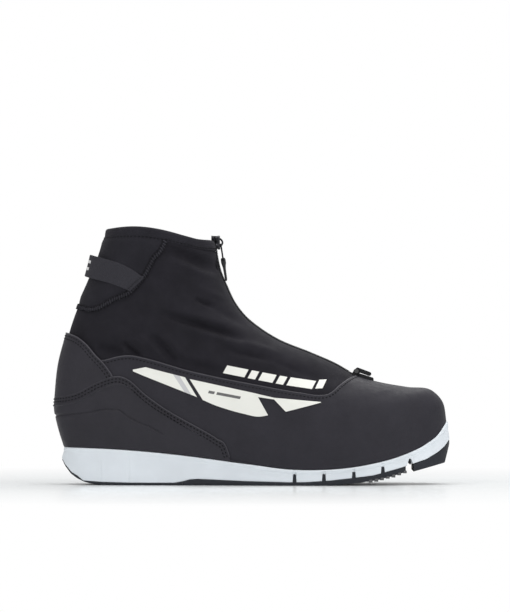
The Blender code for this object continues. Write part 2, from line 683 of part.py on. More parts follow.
def build_inside():
    board = make_material("board_fibre", (0.25, 0.2, 0.15), 0.9)
    foam = make_material("footbed_foam", (0.05, 0.05, 0.055), 0.9)
    textile = make_material("lining_textile", (0.035, 0.035, 0.04), 0.95)
    counter = make_material("counter_plastic", (0.1, 0.1, 0.11), 0.5)
    plan = plan_table(INSIDE_INSET)
    low, high = plan[1][0][0] + 0.5, 131.0

    def inner_slab(name, material, rise, thick, shrink):
        xs = stations(low + shrink, high - shrink)
        solid = Solid()
        rows = []
        for x in xs:
            yl, ym = plan_y(plan, -1, x) + shrink, plan_y(plan, 1, x) - shrink
            z = FEATHER_Z(x) + rise
            rows.append([(x, yl, z), (x, ym, z), (x, ym, z + thick), (x, yl, z + thick)])
        for a, b in zip(rows, rows[1:]):
            for k in range(4):
                m = (k + 1) % 4
                solid.face([a[k], a[m], b[m], b[k]])
        solid.face(rows[0])
        solid.face(rows[-1][::-1])
        return solid.build(name, material)

    inner_slab("lasting_board", board, 0.2, BOARD_TOP - 0.2, 0.4)
    inner_slab("footbed", foam, BOARD_TOP + GAP, FOOTBED_THICK, 1.2)

    def drop(i, v):
        u = column(i)[0]
        rise = ease(0.33, 0.43, v) * (1.0 - ease(0.82, 0.93, v))
        return LINING_FRONT_DROP * (1.0 - ease(0.13, 0.30, u)) * rise

    lining = (lambda i, v: LINING[0] - drop(i, v), lambda i, v: LINING[1] - drop(i, v))
    every = list(range(COUNT))
    panel("lining", textile, every, lambda i: 0.012, lambda i: 0.966, lining)
    front = [i % COUNT for i in range(-5, 6)]
    panel("tongue", textile, front, lambda i: TONGUE_LEVELS[0], lambda i: TONGUE_LEVELS[1], TONGUE)
    for name, run in (("eyestay_lateral", [3, 4, 5]), ("eyestay_medial", [-5, -4, -3])):
        panel(name, counter, [i % COUNT for i in run], lambda i: EYESTAY_LEVELS[0],
              lambda i: EYESTAY_LEVELS[1], EYESTAY)
    heel = list(range(SIDE - 11, SIDE + 12))
    edge = height_line(STIFFENER_EDGE)
    panel("heel_stiffener", counter, heel, lambda i: 0.012, lambda i: max(0.03, level_on(i, edge)), COVER)
    toe = [i % COUNT for i in range(-TOE_PUFF_COLUMN, TOE_PUFF_COLUMN + 1)]
    panel("toe_puff", counter, toe, lambda i: 0.012, lambda i: TOE_PUFF_LEVEL, COVER)


def build_upper():
    cover = make_material("cover_softshell", (0.017, 0.016, 0.020), 0.85)
    collar = make_material("collar_neoprene", (0.030, 0.029, 0.036), 0.9)
    leather = make_material("shell_synthetic", (0.036, 0.034, 0.043), 0.6)
    overlay = make_material("heel_overlay", (0.042, 0.040, 0.047), 0.6)
    shell_line = height_line(SHELL_EDGE)
    seam = height_line(COLLAR_SEAM)
    low_line = height_line(HEEL_LOW_EDGE)
    piped = height_line(HEEL_PIPED_EDGE)
    hem = 0.966
    gap_v = 0.0022

    def rear_level(i):
        return min(hem - 0.02, level_on(i, seam))

    def cover_top(i):
        k = i if i <= SIDE else COUNT - i
        return hem if k <= SEAM_COLUMN else rear_level(i) - gap_v

    def cover_low(i):
        return max(0.02, level_on(i, shell_line, -GAITER_UNDERLAP))

    outer = list(range(COVER_START, SIDE))
    panel("gaiter_lateral", cover, outer + [SIDE], cover_low, cover_top, COVER)
    panel("gaiter_medial", cover, [COUNT - i for i in outer[::-1]], cover_low, cover_top, COVER)
    rear = list(range(SEAM_COLUMN + 2, COUNT - SEAM_COLUMN - 1))
    panel("collar_rear", collar, rear, lambda i: rear_level(i) + gap_v, lambda i: hem, COVER)
    ring = list(range(COVER_START, COUNT - COVER_START + 1))
    panel("collar_hem", collar, ring, lambda i: hem + gap_v, lambda i: 1.0, (LINING[0], COVER[1]))
    every = list(range(COUNT))
    panel("vamp_shell", leather, every, lambda i: 0.004, lambda i: level_on(i, shell_line), SHELL)
    low_cols = [i for i in range(SIDE - 14, SIDE + 15)]
    panel("heel_lower_overlay", overlay, low_cols, lambda i: 0.004,
          lambda i: max(0.004, level_on(i, low_line)), OVERLAY)
    high_cols = [i for i in range(SIDE - 9, SIDE + 10)]
    panel("heel_upper_overlay", overlay, high_cols, lambda i: level_on(i, low_line) + 2 * gap_v,
          lambda i: max(level_on(i, low_line) + 2 * gap_v, level_on(i, piped)), OVERLAY)


def build_decals():
    white = make_material("decal_film", (0.76, 0.76, 0.70), 0.45)
    parts = (("rear", REAR_FILM_X, REAR_FILM_LOW, REAR_FILM_TOP),
             ("middle", MIDDLE_FILM_X, MIDDLE_FILM_LOW, MIDDLE_FILM_TOP),
             ("front", FRONT_FILM_X, FRONT_FILM_LOW, FRONT_FILM_TOP))
    for side, label in ((-1, "lateral"), (1, "medial")):
        for name, ends, low, top in parts:
            film(f"decal_{label}_{name}", white, ends, height_line(low), height_line(top), side, DECAL)


def build_heel_loop():
    webbing = make_material("loop_webbing", (0.042, 0.041, 0.048), 0.85)
    top, low = height_line(LOOP_TOP), height_line(LOOP_LOW)
    run = list(range(SIDE - LOOP_COLUMNS, SIDE + LOOP_COLUMNS + 1))

    def inner(i, v):
        foot, head = level_on(i, low), level_on(i, top)
        gap = mix(LOOP_GAP[0], LOOP_GAP[1], (v - foot) / (head - foot))
        return GAP + gap * ease(LOOP_LIFT_U[0], LOOP_LIFT_U[1], column(i)[0])
    layer = (inner, lambda i, v: inner(i, v) + LOOP_THICK)
    panel("heel_loop", webbing, run, lambda i: level_on(i, low), lambda i: level_on(i, top), layer)


def build_zip():
    tape = make_material("zip_tape_weave", (0.02, 0.02, 0.022), 0.8)
    nylon = make_material("zip_coil_nylon", (0.016, 0.016, 0.018), 0.45)
    metal = make_material("zip_stop_metal", (0.06, 0.06, 0.065), 0.35, 1.0)
    low_v, high_v = TAPE_V
    for name, run in (("zip_tape_lateral", [ZIP_INNER, ZIP_OUTER]),
                      ("zip_tape_medial", [COUNT - ZIP_OUTER, COUNT - ZIP_INNER])):
        panel(name, tape, run, lambda i: low_v, lambda i: high_v, ZIP_TAPE)
    levels = [mix(COIL_V[0], COIL_V[1], k / COIL_STEPS) for k in range(COIL_STEPS + 1)]
    front_strip("zip_coil_lateral", nylon, -COIL_HALF, -COIL_MIDDLE_GAP, *COIL_DEPTH, levels)
    front_strip("zip_coil_medial", nylon, COIL_MIDDLE_GAP, COIL_HALF, *COIL_DEPTH, levels)
    front_strip("zip_bottom_stop", metal, -COIL_HALF, COIL_HALF, *STOP_DEPTH, list(STOP_V))


def zip_arc(radius, start, end, count=5):
    """Points on an arc about the zip's centre, angles measured from straight back."""
    points = []
    for k in range(count):
        angle = math.pi + mix(start, end, k / (count - 1.0))
        points.append((ZIP_CENTRE[0] + radius * math.cos(angle), ZIP_CENTRE[1] + radius * math.sin(angle)))
    return points


def build_slider():
    # The zip line is an arc seen from outside its centre: inward is away from the centre.
    metal = make_material("slider_metal", (0.06, 0.06, 0.065), 0.35, 1.0)
    spread = SLIDER_LONG / ZIP_RADIUS / 2.0
    near, far = ZIP_RADIUS - SLIDER_FOOT, ZIP_RADIUS - SLIDER_ROOF
    low, high = PULL_REST - spread, PULL_REST + spread
    outline = zip_arc(near, low, high) + zip_arc(far, high, low)
    origin = (ZIP_CENTRE[0], 0.0, ZIP_CENTRE[1])
    slider = prism_y(outline, SLIDER_HALF).build("zip_slider", metal, origin)
    bail = prism_y(circle(PULL_AXIS, BAIL_RADIUS, 16), BAIL_HALF)
    merge(slider, bail.build("bail", metal, origin), "UNION")
    eye = prism_y(circle(PULL_AXIS, EYE_RADIUS, 16), 3.0)
    merge(slider, eye.build("eye", metal, origin), "DIFFERENCE")


def cord_path():
    """Closed loop of the pull cord as (y, distance down), with round corners."""
    side, foot = CORD_HALF - CORD_BEND, CORD_BEND - CORD_REACH
    corners = ((side, -CORD_BEND, 0.5), (side, foot, 0.0), (-side, foot, -0.5), (-side, -CORD_BEND, -1.0))
    path = []
    for y, drop, start in corners:
        for k in range(CORD_CORNER_STEPS):
            angle = math.pi * mix(start, start - 0.5, k / (CORD_CORNER_STEPS - 1.0))
            path.append((y + CORD_BEND * math.cos(angle), drop + CORD_BEND * math.sin(angle)))
    return path


def build_pull_cord(down, out, origin):
    cord = make_material("pull_cord", (0.03, 0.03, 0.033), 0.8)
    path = cord_path()
    rings = []
    for n, (y_at, drop) in enumerate(path):
        before, after = path[n - 1], path[(n + 1) % len(path)]
        along_y, along_drop = after[0] - before[0], after[1] - before[1]
        size = math.hypot(along_y, along_drop)
        ring = []
        for k in range(CORD_SIDES):
            angle = 2 * math.pi * k / CORD_SIDES
            y = y_at + CORD_RADIUS * math.cos(angle) * along_drop / size
            s = drop - CORD_RADIUS * math.cos(angle) * along_y / size
            h = CORD_RADIUS * math.sin(angle)
            x = PULL_AXIS[0] - down[0] * s + out[0] * h
            z = PULL_AXIS[1] - down[1] * s + out[1] * h
            ring.append((x, y, z))
        rings.append(ring)
    solid = Solid()
    for n, ring in enumerate(rings):
        after = rings[(n + 1) % len(rings)]
        for k in range(CORD_SIDES):
            m = (k + 1) % CORD_SIDES
            solid.face([ring[k], ring[m], after[m], after[k]])
    solid.build("zip_pull_cord", cord, origin)


def build_pull_tab(down, out, origin):
    rubber = make_material("pull_tab_rubber", (0.018, 0.018, 0.02), 0.6)
    shape = [(PULL_AXIS[0] + out[0] * a - down[0] * b, PULL_AXIS[1] + out[1] * a - down[1] * b)
             for a, b in TAB_PROFILE]
    tab = prism_y(shape, TAB_HALF).build("zip_pull_tab", rubber, origin)
    eye = (PULL_AXIS[0] + down[0] * CORD_REACH, PULL_AXIS[1] + down[1] * CORD_REACH)
    merge(tab, prism_y(circle(eye, EYE_RADIUS, 14), 4.0).build("hole", rubber, origin), "DIFFERENCE")


def build_pull():
    # The cord's upper run passes through the slider's eye.
    origin = (PULL_AXIS[0], 0.0, PULL_AXIS[1])
    down = (math.sin(PULL_LEAN), -math.cos(PULL_LEAN))
    out = (math.cos(PULL_LEAN), math.sin(PULL_LEAN))
    build_pull_cord(down, out, origin)
    build_pull_tab(down, out, origin)


def build_ring_base(plastic, origin):
    base = prism_y(RING_BASE_PLATE, RING_BASE_HALF, RING_MIDDLE).build("ring_base", plastic, origin)
    outline = [(RING_AXIS[0] + x, RING_AXIS[1] + z) for x, z in RING_LUG]
    for y in (-RING_LUG_AT, RING_LUG_AT):
        lug = prism_y(outline, RING_LUG_HALF, RING_MIDDLE + y).build("lug", plastic, origin)
        merge(base, lug, "UNION")
    bore = prism_y(circle(RING_AXIS, RING_BORE, 16), 9.0, RING_MIDDLE).build("bore", plastic, origin)
    merge(base, bore, "DIFFERENCE")


def build_ring_pin(origin):
    steel = make_material("ring_pin_steel", (0.7, 0.7, 0.7), 0.2, 1.0)
    pin = prism_y(circle(RING_AXIS, RING_PIN, 16), PIN_HALF, RING_MIDDLE).build("ring_pin", steel, origin)
    for y in (-PIN_HEAD_AT, PIN_HEAD_AT):
        head = prism_y(circle(RING_AXIS, PIN_HEAD_RADIUS, 16), PIN_HEAD_HALF, RING_MIDDLE + y)
        merge(pin, head.build("head", steel, origin), "UNION")


def build_gaiter_ring(plastic, origin):
    frame = around([(-1.2, 0.9), (10.6, 0.9), (11.2, 1.6), (10.6, 2.6), (-0.6, 2.6)], RING_AXIS, RING_TILT)
    window = around([(2.6, -2.0), (8.8, -2.0), (8.8, 6.0), (2.6, 6.0)], RING_AXIS, RING_TILT)
    slot = around([(-4.0, -3.0), (2.4, -3.0), (2.4, 6.0), (-4.0, 6.0)], RING_AXIS, RING_TILT)
    ring = prism_y(frame, RING_HALF, RING_MIDDLE).build("gaiter_ring", plastic, origin)
    hole = prism_y(window, RING_WINDOW_HALF, RING_MIDDLE).build("hole", plastic, origin)
    merge(ring, hole, "DIFFERENCE")
    for y in (-4.9, 4.9):
        gap = prism_y(slot, 1.25, RING_MIDDLE + y).build("slot", plastic, origin)
        merge(ring, gap, "DIFFERENCE")
    barrel = prism_y(circle(RING_AXIS, BARREL_RADIUS, 16), BARREL_HALF, RING_MIDDLE)
    merge(ring, barrel.build("barrel", plastic, origin), "UNION")
    bore = prism_y(circle(RING_AXIS, RING_BORE, 16), 9.0, RING_MIDDLE).build("bore", plastic, origin)
    merge(ring, bore, "DIFFERENCE")


def build_ring():
    plastic = make_material("ring_plastic", (0.02, 0.02, 0.022), 0.4)
    origin = (RING_AXIS[0], 0.0, RING_AXIS[1])
    build_ring_base(plastic, origin)
    build_ring_pin(origin)
    build_gaiter_ring(plastic, origin)


def main():
    clear_scene()
    build_sole()
    build_inside()
    build_upper()
    build_decals()
    build_heel_loop()
    build_zip()
    build_slider()
    build_pull()
    build_ring()


main()
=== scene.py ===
"""Looks of the cross country boot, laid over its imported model.

Lengths are millimetres until a mesh is made.
"""
import json
import math
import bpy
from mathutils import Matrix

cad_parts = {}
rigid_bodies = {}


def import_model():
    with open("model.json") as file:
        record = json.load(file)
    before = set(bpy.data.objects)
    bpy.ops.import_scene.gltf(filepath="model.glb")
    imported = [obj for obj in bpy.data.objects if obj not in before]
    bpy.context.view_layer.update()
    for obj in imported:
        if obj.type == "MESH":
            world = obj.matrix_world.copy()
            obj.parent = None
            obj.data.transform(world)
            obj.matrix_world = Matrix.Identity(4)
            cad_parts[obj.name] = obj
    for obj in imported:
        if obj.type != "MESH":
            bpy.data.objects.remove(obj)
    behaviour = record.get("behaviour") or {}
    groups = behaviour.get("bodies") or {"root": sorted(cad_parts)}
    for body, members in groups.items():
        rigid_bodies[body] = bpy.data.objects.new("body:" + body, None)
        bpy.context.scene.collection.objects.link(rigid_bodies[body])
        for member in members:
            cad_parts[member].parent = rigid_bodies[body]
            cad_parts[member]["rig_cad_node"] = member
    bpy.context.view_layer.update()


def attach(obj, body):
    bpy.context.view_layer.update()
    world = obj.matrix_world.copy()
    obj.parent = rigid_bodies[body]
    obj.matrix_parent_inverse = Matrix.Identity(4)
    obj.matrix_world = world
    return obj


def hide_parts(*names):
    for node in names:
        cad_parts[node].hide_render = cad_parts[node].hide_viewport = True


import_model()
from types import SimpleNamespace

import bmesh
import bpy
import numpy as np
from mathutils import Vector

MM = 0.001
RNG = np.random.default_rng(7)
SIDES = ((-1, "lateral"), (1, "medial"))  # the outer side of a right boot faces -Y

# ---------------------------------------------------------------- driving dimensions
FRONT_LINE = [(145.6, 47.6), (141.9, 62.8), (134.8, 69.6), (117.3, 71.9), (90.0, 77.1), (80.0, 80.2),
              (72.3, 84.6), (63.2, 89.8), (45.1, 97.6), (17.9, 109.1), (4.3, 117.8), (-4.8, 125.3),
              (-13.8, 136.7), (-19.9, 149.5), (-25.9, 164.6), (-28.6, 174.0), (-31.9, 183.5)]
BACK_LINE = [(-139.8, 28.7), (-144.1, 42.3), (-147.1, 57.0), (-146.5, 71.0), (-144.3, 90.6),
             (-140.2, 107.0), (-136.1, 121.0), (-129.3, 138.9), (-123.0, 153.3), (-115.5, 172.0),
             (-111.6, 185.7), (-110.5, 192.9)]
FEATHER = [(-142.0, 28.7), (-100.0, 27.0), (-55.0, 23.0), (-9.0, 17.0), (31.0, 12.1), (50.0, 11.9),
           (86.0, 15.6), (113.0, 22.7), (131.0, 31.0), (140.2, 37.8), (147.8, 47.6)]
LAST_HALF = [(-141.0, 35.0), (-100.0, 35.0), (-60.0, 36.0), (-20.0, 39.5), (20.0, 45.5), (55.0, 48.5),
             (90.0, 47.5), (120.0, 44.5), (147.0, 41.0)]
SHAFT_HALF = [(100.0, 37.0), (140.0, 36.5), (170.0, 39.0), (196.0, 41.0)]
SHELL_EDGE = [(-150.0, 116.2), (-139.4, 112.8), (-129.6, 109.0), (-123.2, 103.4), (-118.0, 96.8),
              (-114.8, 93.6), (-112.0, 93.3), (-108.0, 94.2), (-101.4, 96.0), (-92.0, 97.0), (-81.0, 95.0),
              (-63.0, 90.0), (-54.6, 87.4), (-29.2, 81.3), (2.5, 75.0), (35.9, 68.9), (51.5, 67.0),
              (56.6, 67.7), (60.0, 69.6), (65.1, 73.9), (72.8, 79.1), (79.2, 82.0), (90.0, 95.0),
              (150.0, 160.0)]
HEEL_PIPED_EDGE = [(-150.0, 117.0), (-139.4, 113.6), (-129.6, 109.8), (-123.2, 104.4), (-117.5, 97.4),
                   (-112.9, 92.8), (-108.1, 86.9), (-104.7, 81.1), (-100.0, 60.0), (-90.0, 0.0)]
HEEL_LOW_EDGE = [(-152.0, 64.8), (-149.2, 65.2), (-132.5, 68.3), (-117.3, 76.3), (-107.2, 80.4),
                 (-99.1, 81.4), (-92.0, 78.4), (-82.0, 69.3), (-66.8, 58.1), (-51.6, 49.1), (-36.5, 41.0),
                 (-26.3, 34.9), (-19.3, 28.8), (-16.2, 19.3), (-12.0, 5.0)]
EMBOSS = [(-149.0, 52.1), (-122.0, 54.5), (-107.0, 56.8), (-99.5, 55.9), (-92.0, 50.6), (-75.0, 42.9),
          (-62.0, 35.5)]
COLLAR_SEAM = [(-140.0, 137.0), (-131.3, 133.8), (-121.0, 131.6), (-103.6, 139.4), (-89.7, 146.8),
               (-79.4, 159.8), (-74.1, 170.0), (-68.0, 177.0), (-64.6, 186.0), (-60.0, 220.0)]
WHITE_BOTTOM = [(-143.6, 20.0), (-140.7, 15.0), (-136.1, 9.6), (-131.6, 7.0), (-127.1, 5.3),
                (-113.5, 4.4), (-91.0, 3.8), (-59.0, 3.8), (-52.0, 5.0), (-47.0, 6.4), (-41.0, 6.8),
                (-22.9, 5.3), (-4.8, 3.8), (13.4, 2.8), (27.0, 2.4), (40.5, 2.6), (58.7, 3.8),
                (72.3, 5.3), (90.4, 7.5), (99.4, 9.8), (113.0, 13.6), (122.1, 16.6), (131.1, 19.6),
                (140.2, 24.9), (144.7, 28.7), (148.9, 34.0)]
WHITE_LOW = [(x, z - 2.0 * max(0.0, min(1.0, (10.0 - x) / 50.0)) * (1.0 if x > -130.0 else 0.0))
             for x, z in WHITE_BOTTOM]
TREAD_BOTTOM = [(-143.6, 19.2), (-140.7, 14.0), (-136.1, 8.0), (-131.6, 5.0), (-127.1, 2.6),
                (-120.0, 0.8), (-113.5, 0.15), (-108.0, 0.0), (58.0, 0.0), (67.7, 0.7), (81.3, 2.0),
                (94.9, 4.2), (106.0, 7.0), (112.0, 9.0), (116.0, 10.4)]
NOTCHES = [(31.6, 8.6), (53.6, 8.8), (76.0, 10.4), (97.8, 14.1)]
TOE_NOTCH = (118.6, 19.9)
BLOCK_FOOT = [(121.0, 10.2), (144.9, 16.6), (148.6, 30.5)]
SOLE_PROUD, SOLE_TAPER = 2.2, 0.97
SOLE_TOP, SOLE_LOW = (-142.0, 147.8), (-143.6, 148.9)
ZIP_CENTRE, ZIP_RADIUS = (59.0, 185.2), 87.0
TOE_SWING, ARCH_HOLLOW, COLLAR_HUMP, FEATHER_TUCK = 6.0, 3.5, 4.2, 0.035
SAG_FADE, SAG_LEVEL = 0.2, 0.5
HEM_LEVEL = 0.966


# ---------------------------------------------------------------- curves and the base skin
def ease(start, end, value):
    t = np.clip((value - start) / (end - start), 0.0, 1.0)
    return t * t * (3.0 - 2.0 * t)


def mix(a, b, t):
    return a + (b - a) * t


def bell(distance, width):
    """1 on the line, fading to nothing a few widths away."""
    return np.exp(-(distance / width) ** 2)


def hermite(keys, values, count=1500):
    """Dense table of the smooth curve through the points."""
    keys, values = np.array(keys, float), np.array(values, float)
    steps = np.diff(keys)
    secants = np.diff(values) / steps
    inner = (secants[1:] * steps[:-1] + secants[:-1] * steps[1:]) / (steps[:-1] + steps[1:])
    slopes = np.concatenate([secants[:1], inner, secants[-1:]])
    k = np.linspace(keys[0], keys[-1], count)
    i = np.clip(np.searchsorted(keys, k, side="right") - 1, 0, len(steps) - 1)
    h = steps[i]
    t = (k - keys[i]) / h
    a = values[i] * (1 + 2 * t) * (1 - t) ** 2 + values[i + 1] * t * t * (3 - 2 * t)
    return k, a + h * (slopes[i] * t * (1 - t) ** 2 + slopes[i + 1] * t * t * (t - 1))


def smooth_line(points):
    keys, values = hermite([p[0] for p in points], [p[1] for p in points])
    return lambda x: np.interp(x, keys, values)


def straight_line(points):
    keys, values = [p[0] for p in points], [p[1] for p in points]
    return lambda x: np.interp(x, keys, values)


def outline_track(points):
    points = np.array(points)
    keys = np.concatenate([[0.0], np.cumsum(np.hypot(*np.diff(points, axis=0).T))])
    keys /= keys[-1]
    k, fx = hermite(keys, points[:, 0])
    _, fz = hermite(keys, points[:, 1])
    return lambda v: (np.interp(v, k, fx), np.interp(v, k, fz))


FRONT, BACK = outline_track(FRONT_LINE), outline_track(BACK_LINE)
FEATHER_Z, LAST_W, SHAFT_W = smooth_line(FEATHER), smooth_line(LAST_HALF), smooth_line(SHAFT_HALF)


def half_width(x, z, side):
    low = LAST_W(x) - np.where(side > 0, ARCH_HOLLOW * bell(x + 25.0, 42.0), 0.0)
    width = mix(low, SHAFT_W(z), ease(62.0, 138.0, z))
    return width * (1.0 - FEATHER_TUCK * (1.0 - ease(0.0, 24.0, z - FEATHER_Z(x))))


def centre_y(x, z):
    return TOE_SWING * ease(10.0, 150.0, x) * (1.0 - ease(70.0, 130.0, z))


def side_place(v, s):
    fx, fz = FRONT(v)
    bx, bz = BACK(v)
    x, z = mix(fx, bx, s), mix(fz, bz, s)
    (fx0, fz0), (bx0, bz0) = FRONT_LINE[0], BACK_LINE[0]
    chord = mix(bz0, fz0, (x - bx0) / (fx0 - bx0))
    fade = np.clip(4.0 * s * (1.0 - s), 0.0, 1.0) ** np.minimum(1.0, v / SAG_FADE)
    z = z + np.clip(1.0 - v / SAG_LEVEL, 0.0, 1.0) ** 1.6 * fade * (FEATHER_Z(x) - chord)
    return x, z + COLLAR_HUMP * ease(0.8, 1.0, v) * np.sin(np.pi * s ** 1.3)


def rounding(v, s):
    t = ease(0.0, 0.6, v)
    widest, nose, tail = mix(0.33, 0.5, t), mix(3.0, 2.1, t), mix(4.0, 2.3, t)
    ahead = s < widest
    q = np.where(ahead, (widest - s) / widest, (s - widest) / (1.0 - widest))
    n = np.where(ahead, nose, tail)
    return np.clip(1.0 - np.clip(q, 0.0, 1.0) ** n, 0.0, 1.0) ** (1.0 / n)


def skin(w, v):
    """Point of the base skin. w: 0 at the front, 1 at the heel by the outer side, -1 by the inner side."""
    w, v = np.broadcast_arrays(np.asarray(w, float), np.asarray(v, float))
    w = (w + 1.0) % 2.0 - 1.0
    v = np.clip(v, 0.0, 1.0)
    side = np.where(w >= 0.0, -1.0, 1.0)
    s = 0.5 * (1.0 - np.cos(np.pi * np.abs(w)))
    x, z = side_place(v, s)
    return np.stack([x, centre_y(x, z) + side * half_width(x, z, side) * rounding(v, s), z], axis=-1)


def unit(vectors):
    return vectors / np.maximum(1e-9, np.linalg.norm(vectors, axis=-1, keepdims=True))


def skin_normal(w, v):
    w, v = np.broadcast_arrays(np.asarray(w, float), np.asarray(v, float))
    across = skin(w + 0.006, v) - skin(w - 0.006, v)
    up = skin(w, np.minimum(1.0, v + 0.006)) - skin(w, np.maximum(0.0, v - 0.006))
    return unit(np.cross(up, across))


def level(w, line, shift=0.0):
    """Level v at which each column w crosses a side-view line."""
    w = np.asarray(w, float)
    low, high = np.zeros_like(w), np.ones_like(w)
    for _ in range(24):
        mid = 0.5 * (low + high)
        p = skin(w, mid)
        below = p[..., 2] < line(p[..., 0]) + shift
        low, high = np.where(below, mid, low), np.where(below, high, mid)
    return 0.5 * (low + high)


def column_at(y, v):
    """Column w on the outer side whose point lies y from the centre plane, near the front."""
    v = np.asarray(v, float)
    low, high = np.zeros_like(v), np.full_like(v, 0.25)
    for _ in range(22):
        mid = 0.5 * (low + high)
        inside = half_y(mid, v) < y
        low, high = np.where(inside, mid, low), np.where(inside, high, mid)
    return 0.5 * (low + high)


def half_y(w, v):
    p, m = skin(w, v), skin(-np.asarray(w), v)
    return 0.5 * (m[..., 1] - p[..., 1])


def to_side(x, z, side):
    """Column and level of the skin point seen at side-view place (x, z)."""
    x, z = np.broadcast_arrays(np.asarray(x, float), np.asarray(z, float))
    low, high = np.zeros_like(x), np.ones_like(x)
    for _ in range(28):
        v = 0.5 * (low + high)
        fx, bx = FRONT(v)[0], BACK(v)[0]
        s = np.clip((x - fx) / (bx - fx), 0.0, 1.0)
        below = side_place(v, s)[1] < z
        low, high = np.where(below, v, low), np.where(below, high, v)
    w = np.arccos(1.0 - 2.0 * s) / np.pi
    return (w if side < 0 else -w), v


def proud(w, v):
    """How far the mouth's front edges stand forward to meet the slider at the top of its path."""
    x, z = FRONT(v)
    reach = np.clip(np.hypot(x - ZIP_CENTRE[0], z - ZIP_CENTRE[1]) - ZIP_RADIUS, 0.0, 3.2)
    u = np.abs((np.asarray(w) + 1.0) % 2.0 - 1.0)
    flap = 0.3 * bell(x - 40.0, 21.0)
    return (reach * ease(0.8, 0.94, np.asarray(v)) + flap) * (1.0 - ease(0.09, 0.24, u))


def lifted(w, v, offset):
    w, v = np.broadcast_arrays(np.asarray(w, float), np.asarray(v, float))
    return skin(w, v) + skin_normal(w, v) * (offset + proud(w, v))[..., None]


# ---------------------------------------------------------------- meshes
def make_piece(name, points, faces, material, body="boot", replaces=(), slot=None, uv=None, smooth=50.0):
    mesh = bpy.data.meshes.new(name)
    mesh.from_pydata((np.asarray(points) * MM).tolist(), [], faces)
    mesh.update()
    if uv is not None:
        layer = mesh.uv_layers.new(name="cloth")
        loops = np.zeros(len(mesh.loops), int)
        mesh.loops.foreach_get("vertex_index", loops)
        layer.data.foreach_set("uv", np.asarray(uv)[loops].ravel())
    item = bpy.data.objects.new(name, mesh)
    bpy.context.scene.collection.objects.link(item)
    mesh.materials.append(material)
    shade(item, smooth)
    dress(item, body, replaces, slot)
    return item


def shade(item, angle):
    mesh = item.data
    mesh.polygons.foreach_set("use_smooth", [True] * len(mesh.polygons))
    if angle < 180.0:
        work = bmesh.new()
        work.from_mesh(mesh)
        for edge in work.edges:
            edge.smooth = len(edge.link_faces) != 2 or edge.calc_face_angle(0.0) < math.radians(angle)
        work.to_mesh(mesh)
        work.free()


def dress(item, body, replaces, slot):
    if body:
        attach(item, body)
    if replaces:
        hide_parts(*replaces)


def grid_faces(rows, columns, wrap=False, closed=False):
    """Quads of a grid; wrap joins its last column to the first, closed its last row."""
    faces = []
    for r in range(rows if closed else rows - 1):
        here, following = r * columns, (r + 1) % rows * columns
        for c in range(columns if wrap else columns - 1):
            d = (c + 1) % columns
            faces.append((here + c, here + d, following + d, following + c))
    return faces


def end_caps(rows, columns):
    """Two faces that close the first and the last column of a grid."""
    first = tuple(r * columns for r in range(rows))
    return [first, tuple(k + columns - 1 for k in first)[::-1]]


def make_grid(name, grid, material, flip=False, wrap=False, **more):
    faces = grid_faces(*grid.shape[:2], wrap)
    if flip:
        faces = [f[::-1] for f in faces]
    return make_piece(name, grid.reshape(-1, 3), faces, material, **more)


def closed_sheet(outer, inner, turn=-1):
    """Closed solid between two grids of one shape; turn is the way its rim is wound, 0 leaves it open."""
    rows, columns = outer.shape[:2]
    count = rows * columns
    faces = grid_faces(rows, columns)
    back = [tuple(count + k for k in f[::-1]) for f in faces]
    loop = (list(range(columns)) + [r * columns + columns - 1 for r in range(1, rows)]
            + [(rows - 1) * columns + c for c in range(columns - 2, -1, -1)]
            + [r * columns for r in range(rows - 2, 0, -1)])
    following = [loop[(k + turn) % len(loop)] for k in range(len(loop))]
    rim = [(a, b, b + count, a + count) for a, b in zip(loop, following)] if turn else []
    return np.concatenate([outer.reshape(-1, 3), inner.reshape(-1, 3)]), faces + back + rim


def cloth_uv(points):
    """Metric texture place of a grid: distance along its rows and its columns, in metres."""
    return np.stack([running(points, 1), running(points)], axis=-1).reshape(-1, 2) * MM


def running(points, axis=0):
    """Distance travelled along one axis of a row or grid of points."""
    steps = np.cumsum(np.linalg.norm(np.diff(points, axis=axis), axis=-1), axis=axis)
    return np.concatenate([np.zeros_like(steps.take([0], axis)), steps], axis=axis)


def edge_round(distance, radius):
    t = 1.0 - np.clip(distance / radius, 0.0, 1.0)
    return np.sqrt(np.clip(1.0 - t * t, 0.0, 1.0))


EDGE_STEPS = np.array([0.0, 0.08, 0.22, 0.45, 0.75, 1.1, 1.6])


def draped(name, w_run, low, high, material, base, lift, relief, rim, rows, replaces, slot,
           ends=True, flip=False, columns=None):
    """A panel on the skin between two levels: full height inside, rolled down to the base at its edges."""
    w = np.asarray(w_run, float)
    v_low, v_high = low(w), high(w)
    v_high = np.maximum(v_high, v_low + 1e-4)
    reach = np.linalg.norm(skin(w, v_high) - skin(w, v_low), axis=-1)
    steps = np.concatenate([EDGE_STEPS * rim, [3.0 * rim]])
    share = np.minimum(0.45, steps[:, None] / np.maximum(reach, 0.05))
    inner = np.linspace(0.0, 1.0, rows)[1:-1, None]
    t = np.concatenate([share, share[-1] + (1.0 - 2.0 * share[-1]) * inner, 1.0 - share[::-1]])
    v = mix(v_low, v_high, t)
    ww = np.broadcast_to(w, v.shape) if columns is None else columns(w, v)
    flat = skin(ww, v)
    run = running(flat)
    from_low, from_high = run, run[-1] - run
    near = np.minimum(from_low, from_high)
    if ends:
        side = running(flat, 1)
        near = np.minimum(near, np.minimum(side, side[:, -1:] - side))
    height = base + (lift - base) * edge_round(near, rim)
    height = height + relief(SimpleNamespace(x=flat[..., 0], z=flat[..., 2], flat=flat, w=ww, v=v,
                                             low=from_low, high=from_high, near=near))
    points = flat + skin_normal(ww, v) * (height + proud(ww, v))[..., None]
    return make_grid(name, points, material, flip, replaces=replaces, slot=slot, uv=cloth_uv(points),
                     smooth=180.0)


